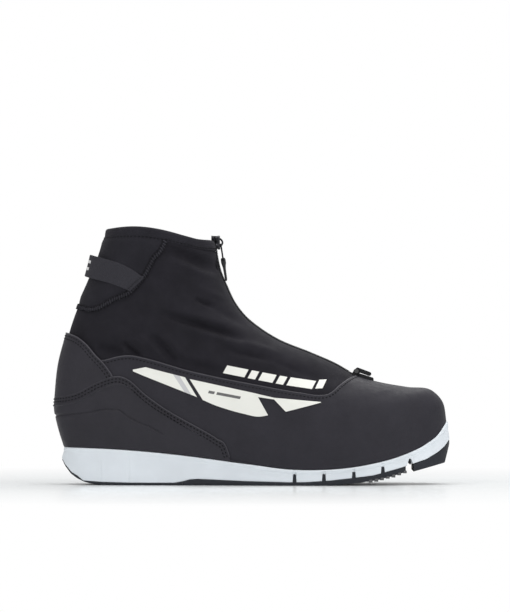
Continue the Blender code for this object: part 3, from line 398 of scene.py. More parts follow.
def tube(points, radius, sides=8, closed=False, flat=1.0, normals=None):
    """Tube mesh along points; flat below 1 squashes it across its normals."""
    points = np.asarray(points, float)
    if closed:
        tangent = unit(np.roll(points, -1, axis=0) - np.roll(points, 1, axis=0))
    else:
        tangent = unit(np.gradient(points, axis=0))
    if normals is None:
        guess = np.array([0.0, 1.0, 0.0]) if abs(tangent[0][1]) < 0.8 else np.array([1.0, 0.0, 0.0])
        out = [unit(guess - tangent[0] * np.dot(guess, tangent[0]))]
        for k in range(1, len(points)):
            n = out[-1] - tangent[k] * np.dot(out[-1], tangent[k])
            out.append(unit(n))
        normals = np.array(out)
    side = unit(np.cross(tangent, normals))
    radius = np.broadcast_to(np.asarray(radius, float), (len(points),))
    angle = np.linspace(0.0, 2.0 * np.pi, sides, endpoint=False)
    ring = (np.cos(angle)[None, :, None] * side[:, None, :]
            + np.sin(angle)[None, :, None] * normals[:, None, :] * flat) * radius[:, None, None]
    verts = (points[:, None, :] + ring).reshape(-1, 3)
    count = len(points)
    faces = grid_faces(count, sides, True, closed)
    if not closed:
        faces.append(tuple(range(sides))[::-1])
        faces.append(tuple(range((count - 1) * sides, count * sides)))
    return verts, faces


def gather(parts):
    """One mesh from many (points, faces) pairs."""
    points, faces, start = [], [], 0
    for verts, polys in parts:
        points.append(verts)
        faces += [tuple(start + k for k in f) for f in polys]
        start += len(verts)
    return np.concatenate(points), faces


def resampled(points, normals, step):
    run = running(points)
    count = max(2, int(run[-1] / step))
    at = np.linspace(0.0, run[-1], count + 1)
    take = lambda table: np.stack([np.interp(at, run, table[:, k]) for k in range(3)], axis=1)
    return take(points), unit(take(normals))


def stitches(name, points, normals, material, long=1.7, gap=1.1, thick=0.34):
    """Row of thread stitches along a seam, each dipping into the cloth at its ends."""
    at, up = resampled(points, normals, long + gap)
    parts = []
    for k in range(len(at) - 1):
        a, b = at[k], at[k + 1]
        forward = unit(b - a)
        n = unit(up[k] + up[k + 1])
        t = np.array([-0.5, -0.42, -0.2, 0.2, 0.42, 0.5])
        lift = np.array([-0.55, 0.05, 0.5, 0.5, 0.05, -0.55]) * thick
        path = 0.5 * (a + b) + t[:, None] * forward * long + lift[:, None] * n
        radius = np.array([0.5, 0.85, 1.0, 1.0, 0.85, 0.5]) * thick
        parts.append(tube(path, radius, 5, normals=np.repeat(n[None], len(path), axis=0)))
    make_piece(name, *gather(parts), material, smooth=180.0)


def merge(target, tool, operation):
    step = target.modifiers.new(operation, "BOOLEAN")
    step.operation, step.solver, step.object = operation, "EXACT", tool
    bpy.context.view_layer.update()
    graph = bpy.context.evaluated_depsgraph_get()
    mesh = bpy.data.meshes.new_from_object(target.evaluated_get(graph))
    target.modifiers.clear()
    target.data = mesh
    bpy.data.objects.remove(tool, do_unlink=True)


# ---------------------------------------------------------------- materials
FLOOR_CLEAR, FLOOR_WHITE = 0.2, 0.55
WAVE_SCALE = 0.314159  # turns a wave length in metres into the texture's own scale


class Nodes:
    """Short way to write a material's node tree."""

    def __init__(self, name):
        self.material = bpy.data.materials.new(name)
        self.material.use_nodes = True
        self.tree = self.material.node_tree
        self.shader = self.tree.nodes["Principled BSDF"]

    def new(self, kind, **values):
        node = self.tree.nodes.new("ShaderNode" + kind)
        for key, value in values.items():
            if key in node.inputs:
                node.inputs[key].default_value = value
            else:
                setattr(node, key, value)
        return node

    def link(self, source, target):
        self.tree.links.new(source, target)

    def set(self, **values):
        for key, value in values.items():
            self.shader.inputs[key.replace("_", " ")].default_value = value

    def place(self, uv=False, scale=(1.0, 1.0, 1.0), turn=0.0):
        source = self.new("TexCoord").outputs["UV" if uv else "Object"]
        mapping = self.new("Mapping")
        mapping.inputs["Scale"].default_value = scale
        mapping.inputs["Rotation"].default_value = (0.0, 0.0, turn)
        self.link(source, mapping.inputs["Vector"])
        return mapping.outputs["Vector"]

    def noise(self, size, detail=3.0, rough=0.5, vector=None):
        """Noise whose blobs are about size metres."""
        node = self.new("TexNoise", Scale=1.0 / size, Detail=detail, Roughness=rough)
        self.link(vector or self.place(), node.inputs["Vector"])
        return node.outputs["Fac"]

    def cells(self, size):
        node = self.new("TexVoronoi", Scale=1.0 / size)
        self.link(self.place(), node.inputs["Vector"])
        return node.outputs["Distance"]

    def wave(self, size, vector, direction, distort):
        node = self.new("TexWave", Scale=WAVE_SCALE / size, Distortion=distort)
        node.bands_direction = direction
        self.link(vector, node.inputs["Vector"])
        return node.outputs["Fac"]

    def math(self, operation, a, b=0.5):
        node = self.new("Math")
        node.operation = operation
        for socket, value in zip(node.inputs, (a, b)):
            if hasattr(value, "is_linked"):
                self.link(value, socket)
            else:
                socket.default_value = value
        return node.outputs[0]

    def ramp(self, source, low, high, start, end):
        """Colour between two colours as the source runs from start to end."""
        node = self.new("ValToRGB")
        node.color_ramp.elements[0].position, node.color_ramp.elements[1].position = start, end
        node.color_ramp.elements[0].color = (*low, 1.0)
        node.color_ramp.elements[1].color = (*high, 1.0)
        self.link(source, node.inputs["Fac"])
        return node.outputs["Color"]

    def tint(self, source, colour, spread, start=0.3, end=0.7):
        """Base colour that varies by spread either side of colour."""
        low, high = (tuple(c * (1.0 + part) for c in colour) for part in (-spread, spread))
        self.link(self.ramp(source, low, high, start, end), self.shader.inputs["Base Color"])

    def roughen(self, source, low, high):
        self.link(self.span(source, low, high, 0.3, 0.7), self.shader.inputs["Roughness"])

    def span(self, source, low, high, start=0.0, end=1.0):
        node = self.new("MapRange")
        for key, value in (("From Min", start), ("From Max", end), ("To Min", low), ("To Max", high)):
            node.inputs[key].default_value = value
        self.link(source, node.inputs["Value"])
        return node.outputs["Result"]

    def bump(self, *layers):
        """layers: (height socket, depth in metres)."""
        before = None
        for height, depth in layers:
            node = self.new("Bump", Strength=1.0, Distance=depth)
            self.link(height, node.inputs["Height"])
            if before:
                self.link(before, node.inputs["Normal"])
            before = node.outputs["Normal"]
        self.link(before, self.shader.inputs["Normal"])


def knit_cloth(name, colour, rough=0.82, rib=0.0006, depth=0.00008, sheen=0.02, spread=0.16, uv=True):
    """Fine stretch knit: wales and courses at thread scale, with a soft nap."""
    n = Nodes(name)
    n.tint(n.noise(0.018, 4.0), colour, spread)
    n.roughen(n.noise(0.006), rough - 0.06, rough + 0.06)
    place = n.place(uv=uv)
    wale = n.wave(rib, place, "X", 0.6)
    course = n.wave(rib * 1.25, place, "Y", 0.8)
    n.bump((n.math("MULTIPLY", wale, course), depth), (n.noise(0.0014, 2.0), depth * 0.8))
    n.set(Sheen_Weight=sheen, Sheen_Roughness=0.45, Specular_IOR_Level=0.12)
    return n.material


def grained(name, colour, rough=0.58, grain=0.0009, depth=0.00006, spread=0.12, spec=0.2):
    """Matt synthetic leather with a fine pebble grain and faint rub marks."""
    n = Nodes(name)
    n.tint(n.noise(0.03, 5.0, 0.6), colour, spread)
    n.roughen(n.noise(0.004, 4.0, 0.65), rough - 0.07, rough + 0.09)
    n.bump((n.cells(grain), depth), (n.noise(grain * 0.4, 2.0), depth * 0.5),
           (n.noise(0.012, 2.0), 0.00010))
    n.set(Specular_IOR_Level=spec)
    return n.material


def moulded(name, colour, rough=0.5, grain=0.0005, depth=0.00003, spread=0.04, spec=0.4, metallic=0.0):
    n = Nodes(name)
    n.tint(n.noise(0.02, 4.0), colour, spread)
    n.roughen(n.noise(0.003, 3.0), rough - 0.05, rough + 0.07)
    n.bump((n.noise(grain, 2.0), depth), (n.noise(0.009, 2.0), depth * 1.6))
    n.set(Specular_IOR_Level=spec, Metallic=metallic)
    return n.material


def webbing_cloth(name, colour, rough=0.8, pitch=0.0011):
    """Narrow webbing: crosswise ribs of heavy thread with a fine lengthwise warp."""
    n = Nodes(name)
    place = n.place(uv=True)
    rib = n.wave(pitch, place, "X", 0.3)
    warp = n.wave(pitch * 0.7, place, "Y", 0.4)
    both = n.math("MULTIPLY", rib, warp)
    n.tint(both, colour, 0.25, 0.0, 0.8)
    n.bump((both, 0.00022), (n.noise(0.0008, 2.0), 0.00005))
    n.set(Roughness=rough, Sheen_Weight=0.03, Sheen_Roughness=0.4, Specular_IOR_Level=0.2)
    return n.material


def metal(name, colour, rough=0.3, brushed=0.0004):
    n = Nodes(name)
    n.tint(n.noise(0.004, 4.0), colour, 0.1)
    streaks = n.noise(brushed, 2.0, 0.5, n.place(scale=(1.0, 0.08, 1.0)))
    n.roughen(streaks, rough - 0.08, rough + 0.12)
    n.bump((streaks, 0.00001))
    n.set(Metallic=1.0)
    return n.material


def floor_paint():
    """Pale seamless floor: satin near the boot, fading into the white backdrop further out."""
    n = Nodes("floor_paint")
    n.link(n.ramp(n.noise(0.4, 2.0), (0.90, 0.93, 0.94), (0.93, 0.95, 0.955), 0.3, 0.7),
           n.shader.inputs["Base Color"])
    n.set(Roughness=0.2, Specular_IOR_Level=0.5)
    glow = n.new("Emission", Strength=1.0)
    blend = n.new("MixShader")
    away = n.new("VectorMath")
    away.operation = "LENGTH"
    n.link(n.place(), away.inputs[0])
    n.link(n.span(away.outputs["Value"], 0.0, 1.0, FLOOR_CLEAR, FLOOR_WHITE), blend.inputs["Fac"])
    n.link(n.shader.outputs["BSDF"], blend.inputs[1])
    n.link(glow.outputs["Emission"], blend.inputs[2])
    n.link(blend.outputs["Shader"], n.tree.nodes["Material Output"].inputs["Surface"])
    return n.material


MAT = {
    "cover": knit_cloth("cover_knit", (0.0145, 0.0136, 0.0178)),
    "collar": knit_cloth("collar_fleece", (0.0175, 0.0168, 0.0215), rough=0.9, rib=0.0011, depth=0.00014,
                         sheen=0.03),
    "lining": knit_cloth("lining_brushed", (0.022, 0.022, 0.026), rough=0.92, rib=0.0016, depth=0.0002,
                         sheen=0.03),
    "shell": grained("shell_grain", (0.0208, 0.0196, 0.0258)),
    "overlay": grained("overlay_grain", (0.0238, 0.0224, 0.0284), rough=0.54),
    # The pale colour of the piped and counter edges is a painted highlight: it stands in for the light line
    # that falls along those edges.
    "edge": grained("edge_painted_highlight", (0.055, 0.053, 0.062), rough=0.42, spread=0.05),
    "thread": knit_cloth("sewing_thread", (0.022, 0.022, 0.026), rough=0.6, uv=False, rib=0.0003,
                         depth=0.00003),
    "pale_thread": knit_cloth("seam_thread", (0.032, 0.031, 0.038), rough=0.6, uv=False, rib=0.0003,
                              depth=0.00003),
    # Near-black colour: on the stitch rows and seam dots it is painted shade, standing in for the shadowed
    # holes between stitches; the pull cord takes it as its own dark colour.
    "dark_thread_and_stitch_shade": knit_cloth("stitch_shade_and_cord", (0.007, 0.007, 0.009), rough=0.7, uv=False, rib=0.0003,
                              depth=0.00003),
    "white": moulded("sole_foam", (0.68, 0.72, 0.76), rough=0.5, spec=0.35),
    "rubber": moulded("tread_rubber", (0.009, 0.011, 0.017), rough=0.62, grain=0.0008, depth=0.00008,
                      spread=0.15),
    "lug": moulded("worn_lug_rubber", (0.09, 0.09, 0.092), rough=0.65),
    "webbing": webbing_cloth("loop_weave", (0.034, 0.033, 0.041)),
    "stripe": webbing_cloth("loop_stripe", (0.72, 0.72, 0.72)),
    "tape": webbing_cloth("zip_tape_weave", (0.010, 0.010, 0.012), pitch=0.0007),
    "coil": moulded("zip_nylon", (0.010, 0.010, 0.012), rough=0.35),
    "film": moulded("decal_film", (0.74, 0.74, 0.695), rough=0.42, spread=0.02),
    "film_grey": moulded("decal_grey", (0.50, 0.50, 0.51), rough=0.42, spread=0.03),
    "film_dark": moulded("decal_dark", (0.12, 0.12, 0.12), rough=0.45, spread=0.05),
    "plastic": moulded("ring_plastic", (0.010, 0.010, 0.012), rough=0.5, spec=0.3),
    "slider": metal("slider_plating", (0.045, 0.045, 0.05), rough=0.38),
    "rivet": metal("rivet_dark_steel", (0.10, 0.10, 0.10), rough=0.42),
    "steel": metal("bar_steel", (0.62, 0.62, 0.63), rough=0.24),
    "foam": knit_cloth("footbed_cover", (0.05, 0.05, 0.056), rough=0.9, rib=0.0012, uv=False),
    "board": moulded("board_fibre", (0.20, 0.16, 0.12), rough=0.85, grain=0.0007, depth=0.0001, spread=0.2),
    "stiff": moulded("counter_plastic", (0.06, 0.06, 0.066), rough=0.5),
    "plastic_soft": moulded("pull_rubber", (0.012, 0.012, 0.014), rough=0.5),
}


# ---------------------------------------------------------------- panel limits
def line_level(points, shift=0.0):
    line = smooth_line(points)
    return lambda w: level(w, line, shift)


SHELL_TOP = line_level(SHELL_EDGE)
SEAM_TOP = line_level(COLLAR_SEAM)
LOW_TOP = line_level(HEEL_LOW_EDGE)
PIPED_TOP = line_level(HEEL_PIPED_EDGE)
ZIP_GAP = 2.0
STITCH_IN_HEM = 2.5
FOLD_LIMIT = 7.0
CREASES = ((52.0, -0.35), (66.0, -0.45), (78.0, -0.3))


def fold(flat, side, x0, z0, x1, z1, width, depth):
    """Long soft fold on one side of the cover between two side-view points; depth below zero is a valley."""
    dx, dz = x1 - x0, z1 - z0
    length = math.hypot(dx, dz)
    rx, rz = flat[..., 0] - x0, flat[..., 2] - z0
    along = (rx * dx + rz * dz) / length
    across = (rz * dx - rx * dz) / length
    t = along / length
    taper = np.clip(1.0 - (2.0 * np.clip(t, -0.2, 1.2) - 1.0) ** 2 * 0.7, 0.0, 1.0)
    outside = np.maximum(0.0, np.maximum(-along, along - length))
    here = np.where(flat[..., 1] * side > -4.0, 1.0, 0.0)
    return depth * bell(across, width) * taper * np.exp(-(outside / (width * 1.2)) ** 2) * here


# Folds of the soft cover: (x, z) start and end, half width, height.
FOLDS = [(-66, 178, -28, 163.5, 4.4, -6.4), (-58, 184, -30, 177, 2.4, -1.6),
         (-62, 170, -30, 156, 3.6, 1.4), (-48, 171, -26, 161.5, 3.4, -3.0),
         (-66, 128.5, -8, 110.5, 3.0, -5.6), (-54, 131, -12, 117, 3.8, 2.0), (-50, 119, -4, 103, 3.8, 1.8),
         (-42, 139, -28, 134, 1.8, -3.2), (-34, 135, -2, 119, 2.8, -1.2), (-38, 147, -20, 139, 2.6, 1.0),
         (-74, 111, -57, 92, 2.8, -5.0), (-64, 112, -48, 93, 3.0, 1.8), (-84, 112, -69, 98, 2.6, 1.8),
         (-97, 107, -85, 97, 2.0, -4.0), (-92, 112, -78, 102, 2.6, 1.6), (-116, 103, -98, 99, 4.4, -4.4),
         (-54, 93, -22, 85, 3.6, -2.8), (-20, 102, 14, 94, 2.4, -2.6), (-12, 108, 22, 98, 2.8, 1.6),
         (-88, 141, -62, 128, 5.0, 1.4), (-106, 122, -84, 114, 5.0, -1.4), (18, 92, 44, 82, 2.4, -1.6),
         (-78, 160, -58, 148, 3.4, -1.2), (-110, 132, -90, 138, 4.0, -1.0)]


def cover_relief(side):
    tilt = 0.0 if side < 0 else 1.0

    def relief(at):
        out = np.zeros(at.x.shape)
        for x0, z0, x1, z1, width, depth in FOLDS:
            drift = 3.0 * tilt
            out += fold(at.flat, side, x0 + drift, z0 - drift, x1 + drift, z1 - drift, width, depth)
        soft = 0.22 * np.sin(at.x / 9.0 + at.z / 13.0 + tilt) * np.sin(at.z / 11.0 - at.x / 17.0 + 2.0 * tilt)
        stitch = bell(at.high - STITCH_IN_HEM, 0.5)
        keep = np.clip(at.near / 4.0, 0.0, 1.0)
        out = FOLD_LIMIT * np.tanh(out / FOLD_LIMIT)
        return (out + soft) * keep * 0.9 - 0.15 * stitch * np.where(at.v > 0.9, 1.0, 0.0)
    return relief


def build_cover():
    """Stretch cover: one panel on each side of the zip."""
    def top(w):
        return np.minimum(HEM_LEVEL + 0.008, SEAM_TOP(w))

    def low(w):
        return np.maximum(0.02, level(w, smooth_line(SHELL_EDGE), -7.0))

    for side, name in SIDES:
        run = -side * np.linspace(0.0, 1.0, 260)

        def columns(w, v, side=side):
            start = column_at(np.full_like(v, ZIP_GAP), v)
            return -side * (start + (1.0 - start) * np.abs(w))
        panel = draped(f"cover_{name}", run, low, top, MAT["cover"], -1.0, 0.0,
                       cover_relief(side), 0.8, 150, (f"gaiter_{name}",), "cover_softshell", flip=side > 0,
                       columns=columns)


def build_shell():
    """Vamp and quarter shell from the sole line up to its piped edge."""
    run = np.linspace(-1.0, 1.0, 500)

    def relief(at):
        seam = -0.22 * bell(at.high - 1.9, 0.35)
        crease = 0.0
        for cx, depth in CREASES:
            crease = crease + depth * bell(at.x - cx + (at.z - 50.0) * 0.3, 3.4)
        crease = crease * ease(20.0, 46.0, at.z) * np.clip(at.high / 5.0, 0.0, 1.0)
        return seam + crease * 0.6
    draped("shell", run, np.zeros_like, SHELL_TOP, MAT["shell"], 0.35, 1.35, relief, 0.7,
           120, ("vamp_shell",), "shell_synthetic", ends=False)


def edge_path(limit, run, offset, shift=0.0):
    """Points and normals along a panel edge, moved inside the panel by shift, square to the edge."""
    v = limit(run)
    keep = v > 0.006
    run, v = run[keep], v[keep]
    points, normals = lifted(run, v, offset), skin_normal(run, v)
    if shift:
        inward = unit(np.cross(normals, np.gradient(points, axis=0)))
        if inward[:, 2].mean() > 0.0:
            inward = -inward
        points = points + inward * shift
    return points, normals


# Piping tubes take the pale edge material, whose colour is a painted highlight along the edge.
def edge_piping(name, limit, run, offset, thick, material):
    points, normals = resampled(*edge_path(limit, run, offset), 1.2)
    make_piece(name, *tube(points, thick, 8, normals=normals), material, smooth=180.0)


def build_shell_seams():
    for side, name in SIDES:
        run = -side * np.linspace(0.0, 0.80, 560)
        edge_piping(f"shell_piping_{name}", SHELL_TOP, run, 0.8, 0.55, MAT["edge"])
        points, normals = edge_path(SHELL_TOP, run, 1.35, 2.0)
        # Stitch row in the near-black material: painted shade of the stitch holes below the piped edge.
        stitches(f"shell_stitch_{name}", points, normals, MAT["dark_thread_and_stitch_shade"])


def heel_run(half, count):
    return 1.0 + np.linspace(-half, half, count)


def build_heel_overlays():
    emboss = smooth_line(EMBOSS)

    def low_relief(at):
        second = 0.75 * bell(at.high - 6.2, 0.5) * ease(-34.0, -44.0, at.x)
        first = -0.16 * bell(at.high - 2.8, 1.2)
        drop = at.z - emboss(at.x)
        press = -0.95 * bell(drop, 0.8) * ease(-62.0, -72.0, at.x)
        band = -0.22 * ease(0.0, 1.5, -drop) * ease(-60.0, -75.0, at.x)
        return second + first + press + band

    draped("heel_overlay_low", heel_run(0.49, 520), np.zeros_like, lambda w: np.maximum(0.004, LOW_TOP(w)),
           MAT["overlay"], 1.35, 2.6, low_relief, 0.9, 110, ("heel_lower_overlay",), "heel_overlay")

    def high_relief(at):
        return -0.2 * bell(at.high - 1.8, 0.35) - 0.2 * bell(at.high - 4.0, 0.35)

    def high_low(w):
        return LOW_TOP(w) - 0.012
    draped("heel_overlay_high", heel_run(0.305, 380), high_low,
           lambda w: np.maximum(high_low(w) + 0.003, PIPED_TOP(w)),
           MAT["overlay"], 1.35, 2.45, high_relief, 0.9, 80, ("heel_upper_overlay",), "heel_overlay")


def build_heel_seams():
    for side, name in SIDES:
        high = -side * np.linspace(0.70, 1.0, 460)
        high = high[PIPED_TOP(high) > LOW_TOP(high)]
        edge_piping(f"heel_piping_{name}", PIPED_TOP, high, 2.2, 0.55, MAT["edge"])
        # Double stitch rows in the near-black material: painted shade of the stitch holes.
        for k, shift in enumerate((1.8, 4.0)):
            points, normals = edge_path(PIPED_TOP, high, 2.4, shift)
            stitches(f"heel_stitch_{name}_{k + 1}", points, normals, MAT["dark_thread_and_stitch_shade"])
        wide = -side * np.linspace(0.525, 1.0, 700)
        for k, shift in enumerate((1.6, 3.8)):
            points, normals = edge_path(LOW_TOP, wide, 2.55, shift)
            stitches(f"counter_stitch_{name}_{k + 1}", points, normals, MAT["dark_thread_and_stitch_shade"], thick=0.4)
        edge_piping(f"counter_edge_{name}", LOW_TOP, wide, 2.1, 0.38, MAT["edge"])


# ---------------------------------------------------------------- sole
GAP = 0.35


# Notch outlines: (distance along the sole, height from the notch's top, or None on the sole's own line).
WALL_NOTCH = ((-1.5, None), (-1.15, -0.6), (-0.75, 0.0), (0.75, 0.0), (1.15, -0.6), (1.5, None))
TREAD_NOTCH = ((-1.35, None), (-0.8, -0.35), (0.8, -0.35), (1.35, None))
WIDE_NOTCH = ((-2.6, None), (-0.9, 0.0), (0.5, 0.0), (2.0, None))


def notched(*cuts):
    """Lower line of the white sole with notches let into it; each cut is its (x, top) and its outline."""
    line, points = straight_line(WHITE_LOW), list(WHITE_LOW)
    for (x, top), outline in cuts:
        points += [(x + dx, float(line(x + dx)) if rise is None else top + rise) for dx, rise in outline]
    return sorted(points)


def feather_loop(side, count=500):
    """Plan of the sole wall on one side, from the toe to the heel: arrays x, y."""
    w = -side * np.linspace(0.0, 1.0, count)
    p, n = skin(w, 0.0), skin_normal(w, 0.0)
    flat = unit(np.stack([n[:, 0], n[:, 1], np.zeros(count)], axis=1))
    q = p + flat * SOLE_PROUD
    return q[:, 0], q[:, 1]


def plan_loops(extra=()):
    """Closed plan with extra stations where the bottom steps: points, middle y and share of the length."""
    loops = {side: feather_loop(side) for side in (-1, 1)}
    tip0, tip1 = loops[1][0].min(), loops[1][0].max()
    rows = []
    for side in (-1, 1):
        lx, ly = loops[side]
        run = np.concatenate([[0.0], np.cumsum(np.hypot(np.diff(lx), np.diff(ly)))])
        at = set(np.linspace(0.0, run[-1], 420).tolist())
        for x in extra:
            t = (x - SOLE_LOW[0]) / (SOLE_LOW[1] - SOLE_LOW[0])
            at.add(float(np.interp(-mix(tip0, tip1, t), -lx, run)))
        at = np.array(sorted(at))
        if side == 1:
            at = at[::-1][1:-1]
        x = np.interp(at, run, lx)
        rows.append(np.stack([x, np.interp(at, run, ly)], axis=1))
    plan = np.concatenate(rows)
    other = {side: (loops[side][0][::-1], loops[side][1][::-1]) for side in (-1, 1)}
    mid = 0.5 * (np.interp(plan[:, 0], *other[-1]) + np.interp(plan[:, 0], *other[1]))
    return plan, mid, (plan[:, 0] - tip0) / (tip1 - tip0)


def foot_edges(plan, mid, x_low, stations):
    """Where each side of the sole's foot lies at the stations, and the line midway between them."""
    y_low = mid + (plan[:, 1] - mid) * SOLE_TAPER
    edges = {}
    for side in (-1, 1):
        here = (plan[:, 1] < mid) if side < 0 else (plan[:, 1] >= mid)
        order = np.argsort(x_low[here])
        edges[side] = np.interp(stations, x_low[here][order], y_low[here][order])
    return edges, 0.5 * (edges[-1] + edges[1])


HEEL_GROOVES = ((-114.0, 0.35), (-93.0, 0.35))
WALL_LIP = ((5.0, 0.9), (2.4, 0.3), (1.3, 0.0), (0.7, 0.0), (0.3, -0.15), (0.06, -0.45))
WALL_HOLLOW = 0.28
BINDING_BAR = (138.5, 17.6)


def build_sole_unit():
    """White moulded midsole: rounded top lip, slightly hollow wall, heel grooves and flex notches."""
    bottom = notched(*((place, WALL_NOTCH) for place in NOTCHES), (TOE_NOTCH, WIDE_NOTCH))
    line = straight_line(bottom)
    plan, mid, t = plan_loops([p[0] + d for p in bottom if 25 < p[0] < 123 for d in (0.0, 0.12)])
    x_top, x_low = mix(SOLE_TOP[0], SOLE_TOP[1], t), mix(SOLE_LOW[0], SOLE_LOW[1], t)
    z_top, z_low = FEATHER_Z(x_top) - GAP, line(x_low)
    y_top, y_low = plan[:, 1], mid + (plan[:, 1] - mid) * SOLE_TAPER
    out = unit(np.stack([np.roll(plan[:, 1], -1) - np.roll(plan[:, 1], 1),
                         np.roll(plan[:, 0], 1) - np.roll(plan[:, 0], -1)], axis=1))
    turn = np.sign(np.sum(out[:, 0] * plan[:, 0]))
    out = out * turn
    # Rows from top to bottom: share of the height, inward step, rise past the end (none on the wall).
    rows = [(0.0, inward, rise) for inward, rise in WALL_LIP]
    rows += [(s, WALL_HOLLOW * math.sin(math.pi * s) ** 2, None) for s in np.linspace(0.0, 1.0, 26)]
    rows += [(1.0, 0.35, 0.25), (1.0, 4.0, 0.3)]
    points = []
    for s, inward, drop in rows:
        x, y = mix(x_top, x_low, s), mix(y_top, y_low, s)
        if drop is None:
            z = mix(z_top - 0.75, z_low + 0.35, s)
            groove = sum(depth * bell(x - gx, 0.55) for gx, depth in HEEL_GROOVES)
            band = 0.22 * bell(z_top - z - 3.1, 0.30)
            inward = inward + (groove * ease(0.02, 0.12, s) + band) * ease(2.0, 6.0, z_top - z_low)
        else:
            z = (z_top + drop if s == 0.0 else z_low + (drop - 0.25))
        points.append(np.stack([x - out[:, 0] * inward, y - out[:, 1] * inward, z], axis=1))
    grid = np.array(points)
    make_grid("sole_wall", grid, MAT["white"], wrap=True, replaces=("sole_unit",), slot="white_sole_foam",
              smooth=38.0)


def lug_line(x):
    """1 on a lug of the tread, 0 in the groove between two lugs."""
    pitch = 7.6
    phase = (x + 150.0) % pitch
    return ease(0.0, 0.5, phase) * (1.0 - ease(5.6, 6.1, phase))


def build_tread(name, low, high, node):
    """Dark outsole: thin edge under the white wall and a lugged underside."""
    edges = notched(*((place, TREAD_NOTCH) for place in NOTCHES))
    top_line, base_line = straight_line(edges), straight_line(TREAD_BOTTOM)
    marks = [p[0] + d for p in edges if low < p[0] < high and 25 < p[0] for d in (0.0, 0.1)]
    plan, mid, t = plan_loops(marks)
    x_low = mix(SOLE_LOW[0], SOLE_LOW[1], t)
    keep = (x_low >= low) & (x_low <= high)
    parts = []
    stations = np.unique(np.round(np.sort(x_low[keep]), 2))
    full, centre = foot_edges(plan, mid, x_low, stations)
    across = np.concatenate([[-1.0, -0.985, -0.97], np.linspace(-0.93, 0.93, 27), [0.97, 0.985, 1.0]])
    rows = []
    for share in across:
        y = centre + np.abs(share) * (full[1 if share > 0 else -1] - centre)
        near = np.abs(share) > 0.975
        valley = 1.0 - lug_line(stations)
        middle = bell(share, 0.06)
        depth = np.maximum(valley, middle) * 1.1
        z = base_line(stations) + np.where(near, 0.2, depth)
        z = np.minimum(z, top_line(stations) - 0.2)
        rows.append(np.stack([stations, y, z], axis=1))
    bottom = np.array(rows)
    parts.append((bottom.reshape(-1, 3), grid_faces(len(across), len(stations))))
    for side in (-1, 1):
        edge = bottom[0 if side < 0 else -1]
        wall = []
        for s, inward in ((0.0, 0.0), (0.15, -0.10), (0.5, -0.12), (0.85, -0.1), (1.0, 0.1), (1.0, 4.0)):
            p = edge.copy()
            p[:, 2] = mix(edge[:, 2], top_line(stations) - 0.05, s)
            p[:, 1] -= side * inward
            wall.append(p)
        grid = np.array(wall)
        parts.append((grid.reshape(-1, 3), grid_faces(len(wall), len(stations))))
    make_piece(name, *gather(parts), MAT["rubber"], replaces=(node,), slot="dark_tread_rubber", smooth=40.0)


def build_toe_lugs():
    """Small uneven lugs on the rolled part of the tread ahead of the flex zone."""
    line = straight_line(TREAD_BOTTOM)
    parts = []
    for k in range(7):
        x = 88.5 + 4.3 * k
        for side in (-1, 1):
            lx, ly = feather_loop(side)
            t = (x - SOLE_LOW[0]) / (SOLE_LOW[1] - SOLE_LOW[0])
            y = float(np.interp(-mix(lx.min(), lx.max(), t), -lx, ly)) * 0.965 - side * 0.4
            size = 0.9 + 0.35 * RNG.random()
            z = float(line(x)) + 0.15
            parts.append(block_mesh((x, y - side * 1.4, z), (1.5, 2.2, size), 0.35))
    make_piece("toe_lugs", *gather(parts), MAT["lug"], smooth=40.0)
    # Dark rubber sliver inside the toe notch is painted shade: it stands in for the shadow deep in the notch.
    side_prism("toe_notch_fin", [(118.0, 15.6), (118.9, 15.6), (118.8, 19.6), (118.1, 19.6)], 38.3, 5.2,
               MAT["rubber"], body="boot")


def block_mesh(centre, half, bevel):
    """Block with chamfered edges as (points, faces)."""
    work = bmesh.new()
    bmesh.ops.create_cube(work, size=2.0)
    for vert in work.verts:
        for k in range(3):
            vert.co[k] *= half[k]
    bmesh.ops.bevel(work, geom=list(work.edges), offset=bevel, segments=2, affect="EDGES", profile=0.6)
    points = np.array([v.co[:] for v in work.verts]) + np.array(centre)
    faces = [tuple(v.index for v in f.verts) for f in work.faces]
    work.free()
    return points, faces


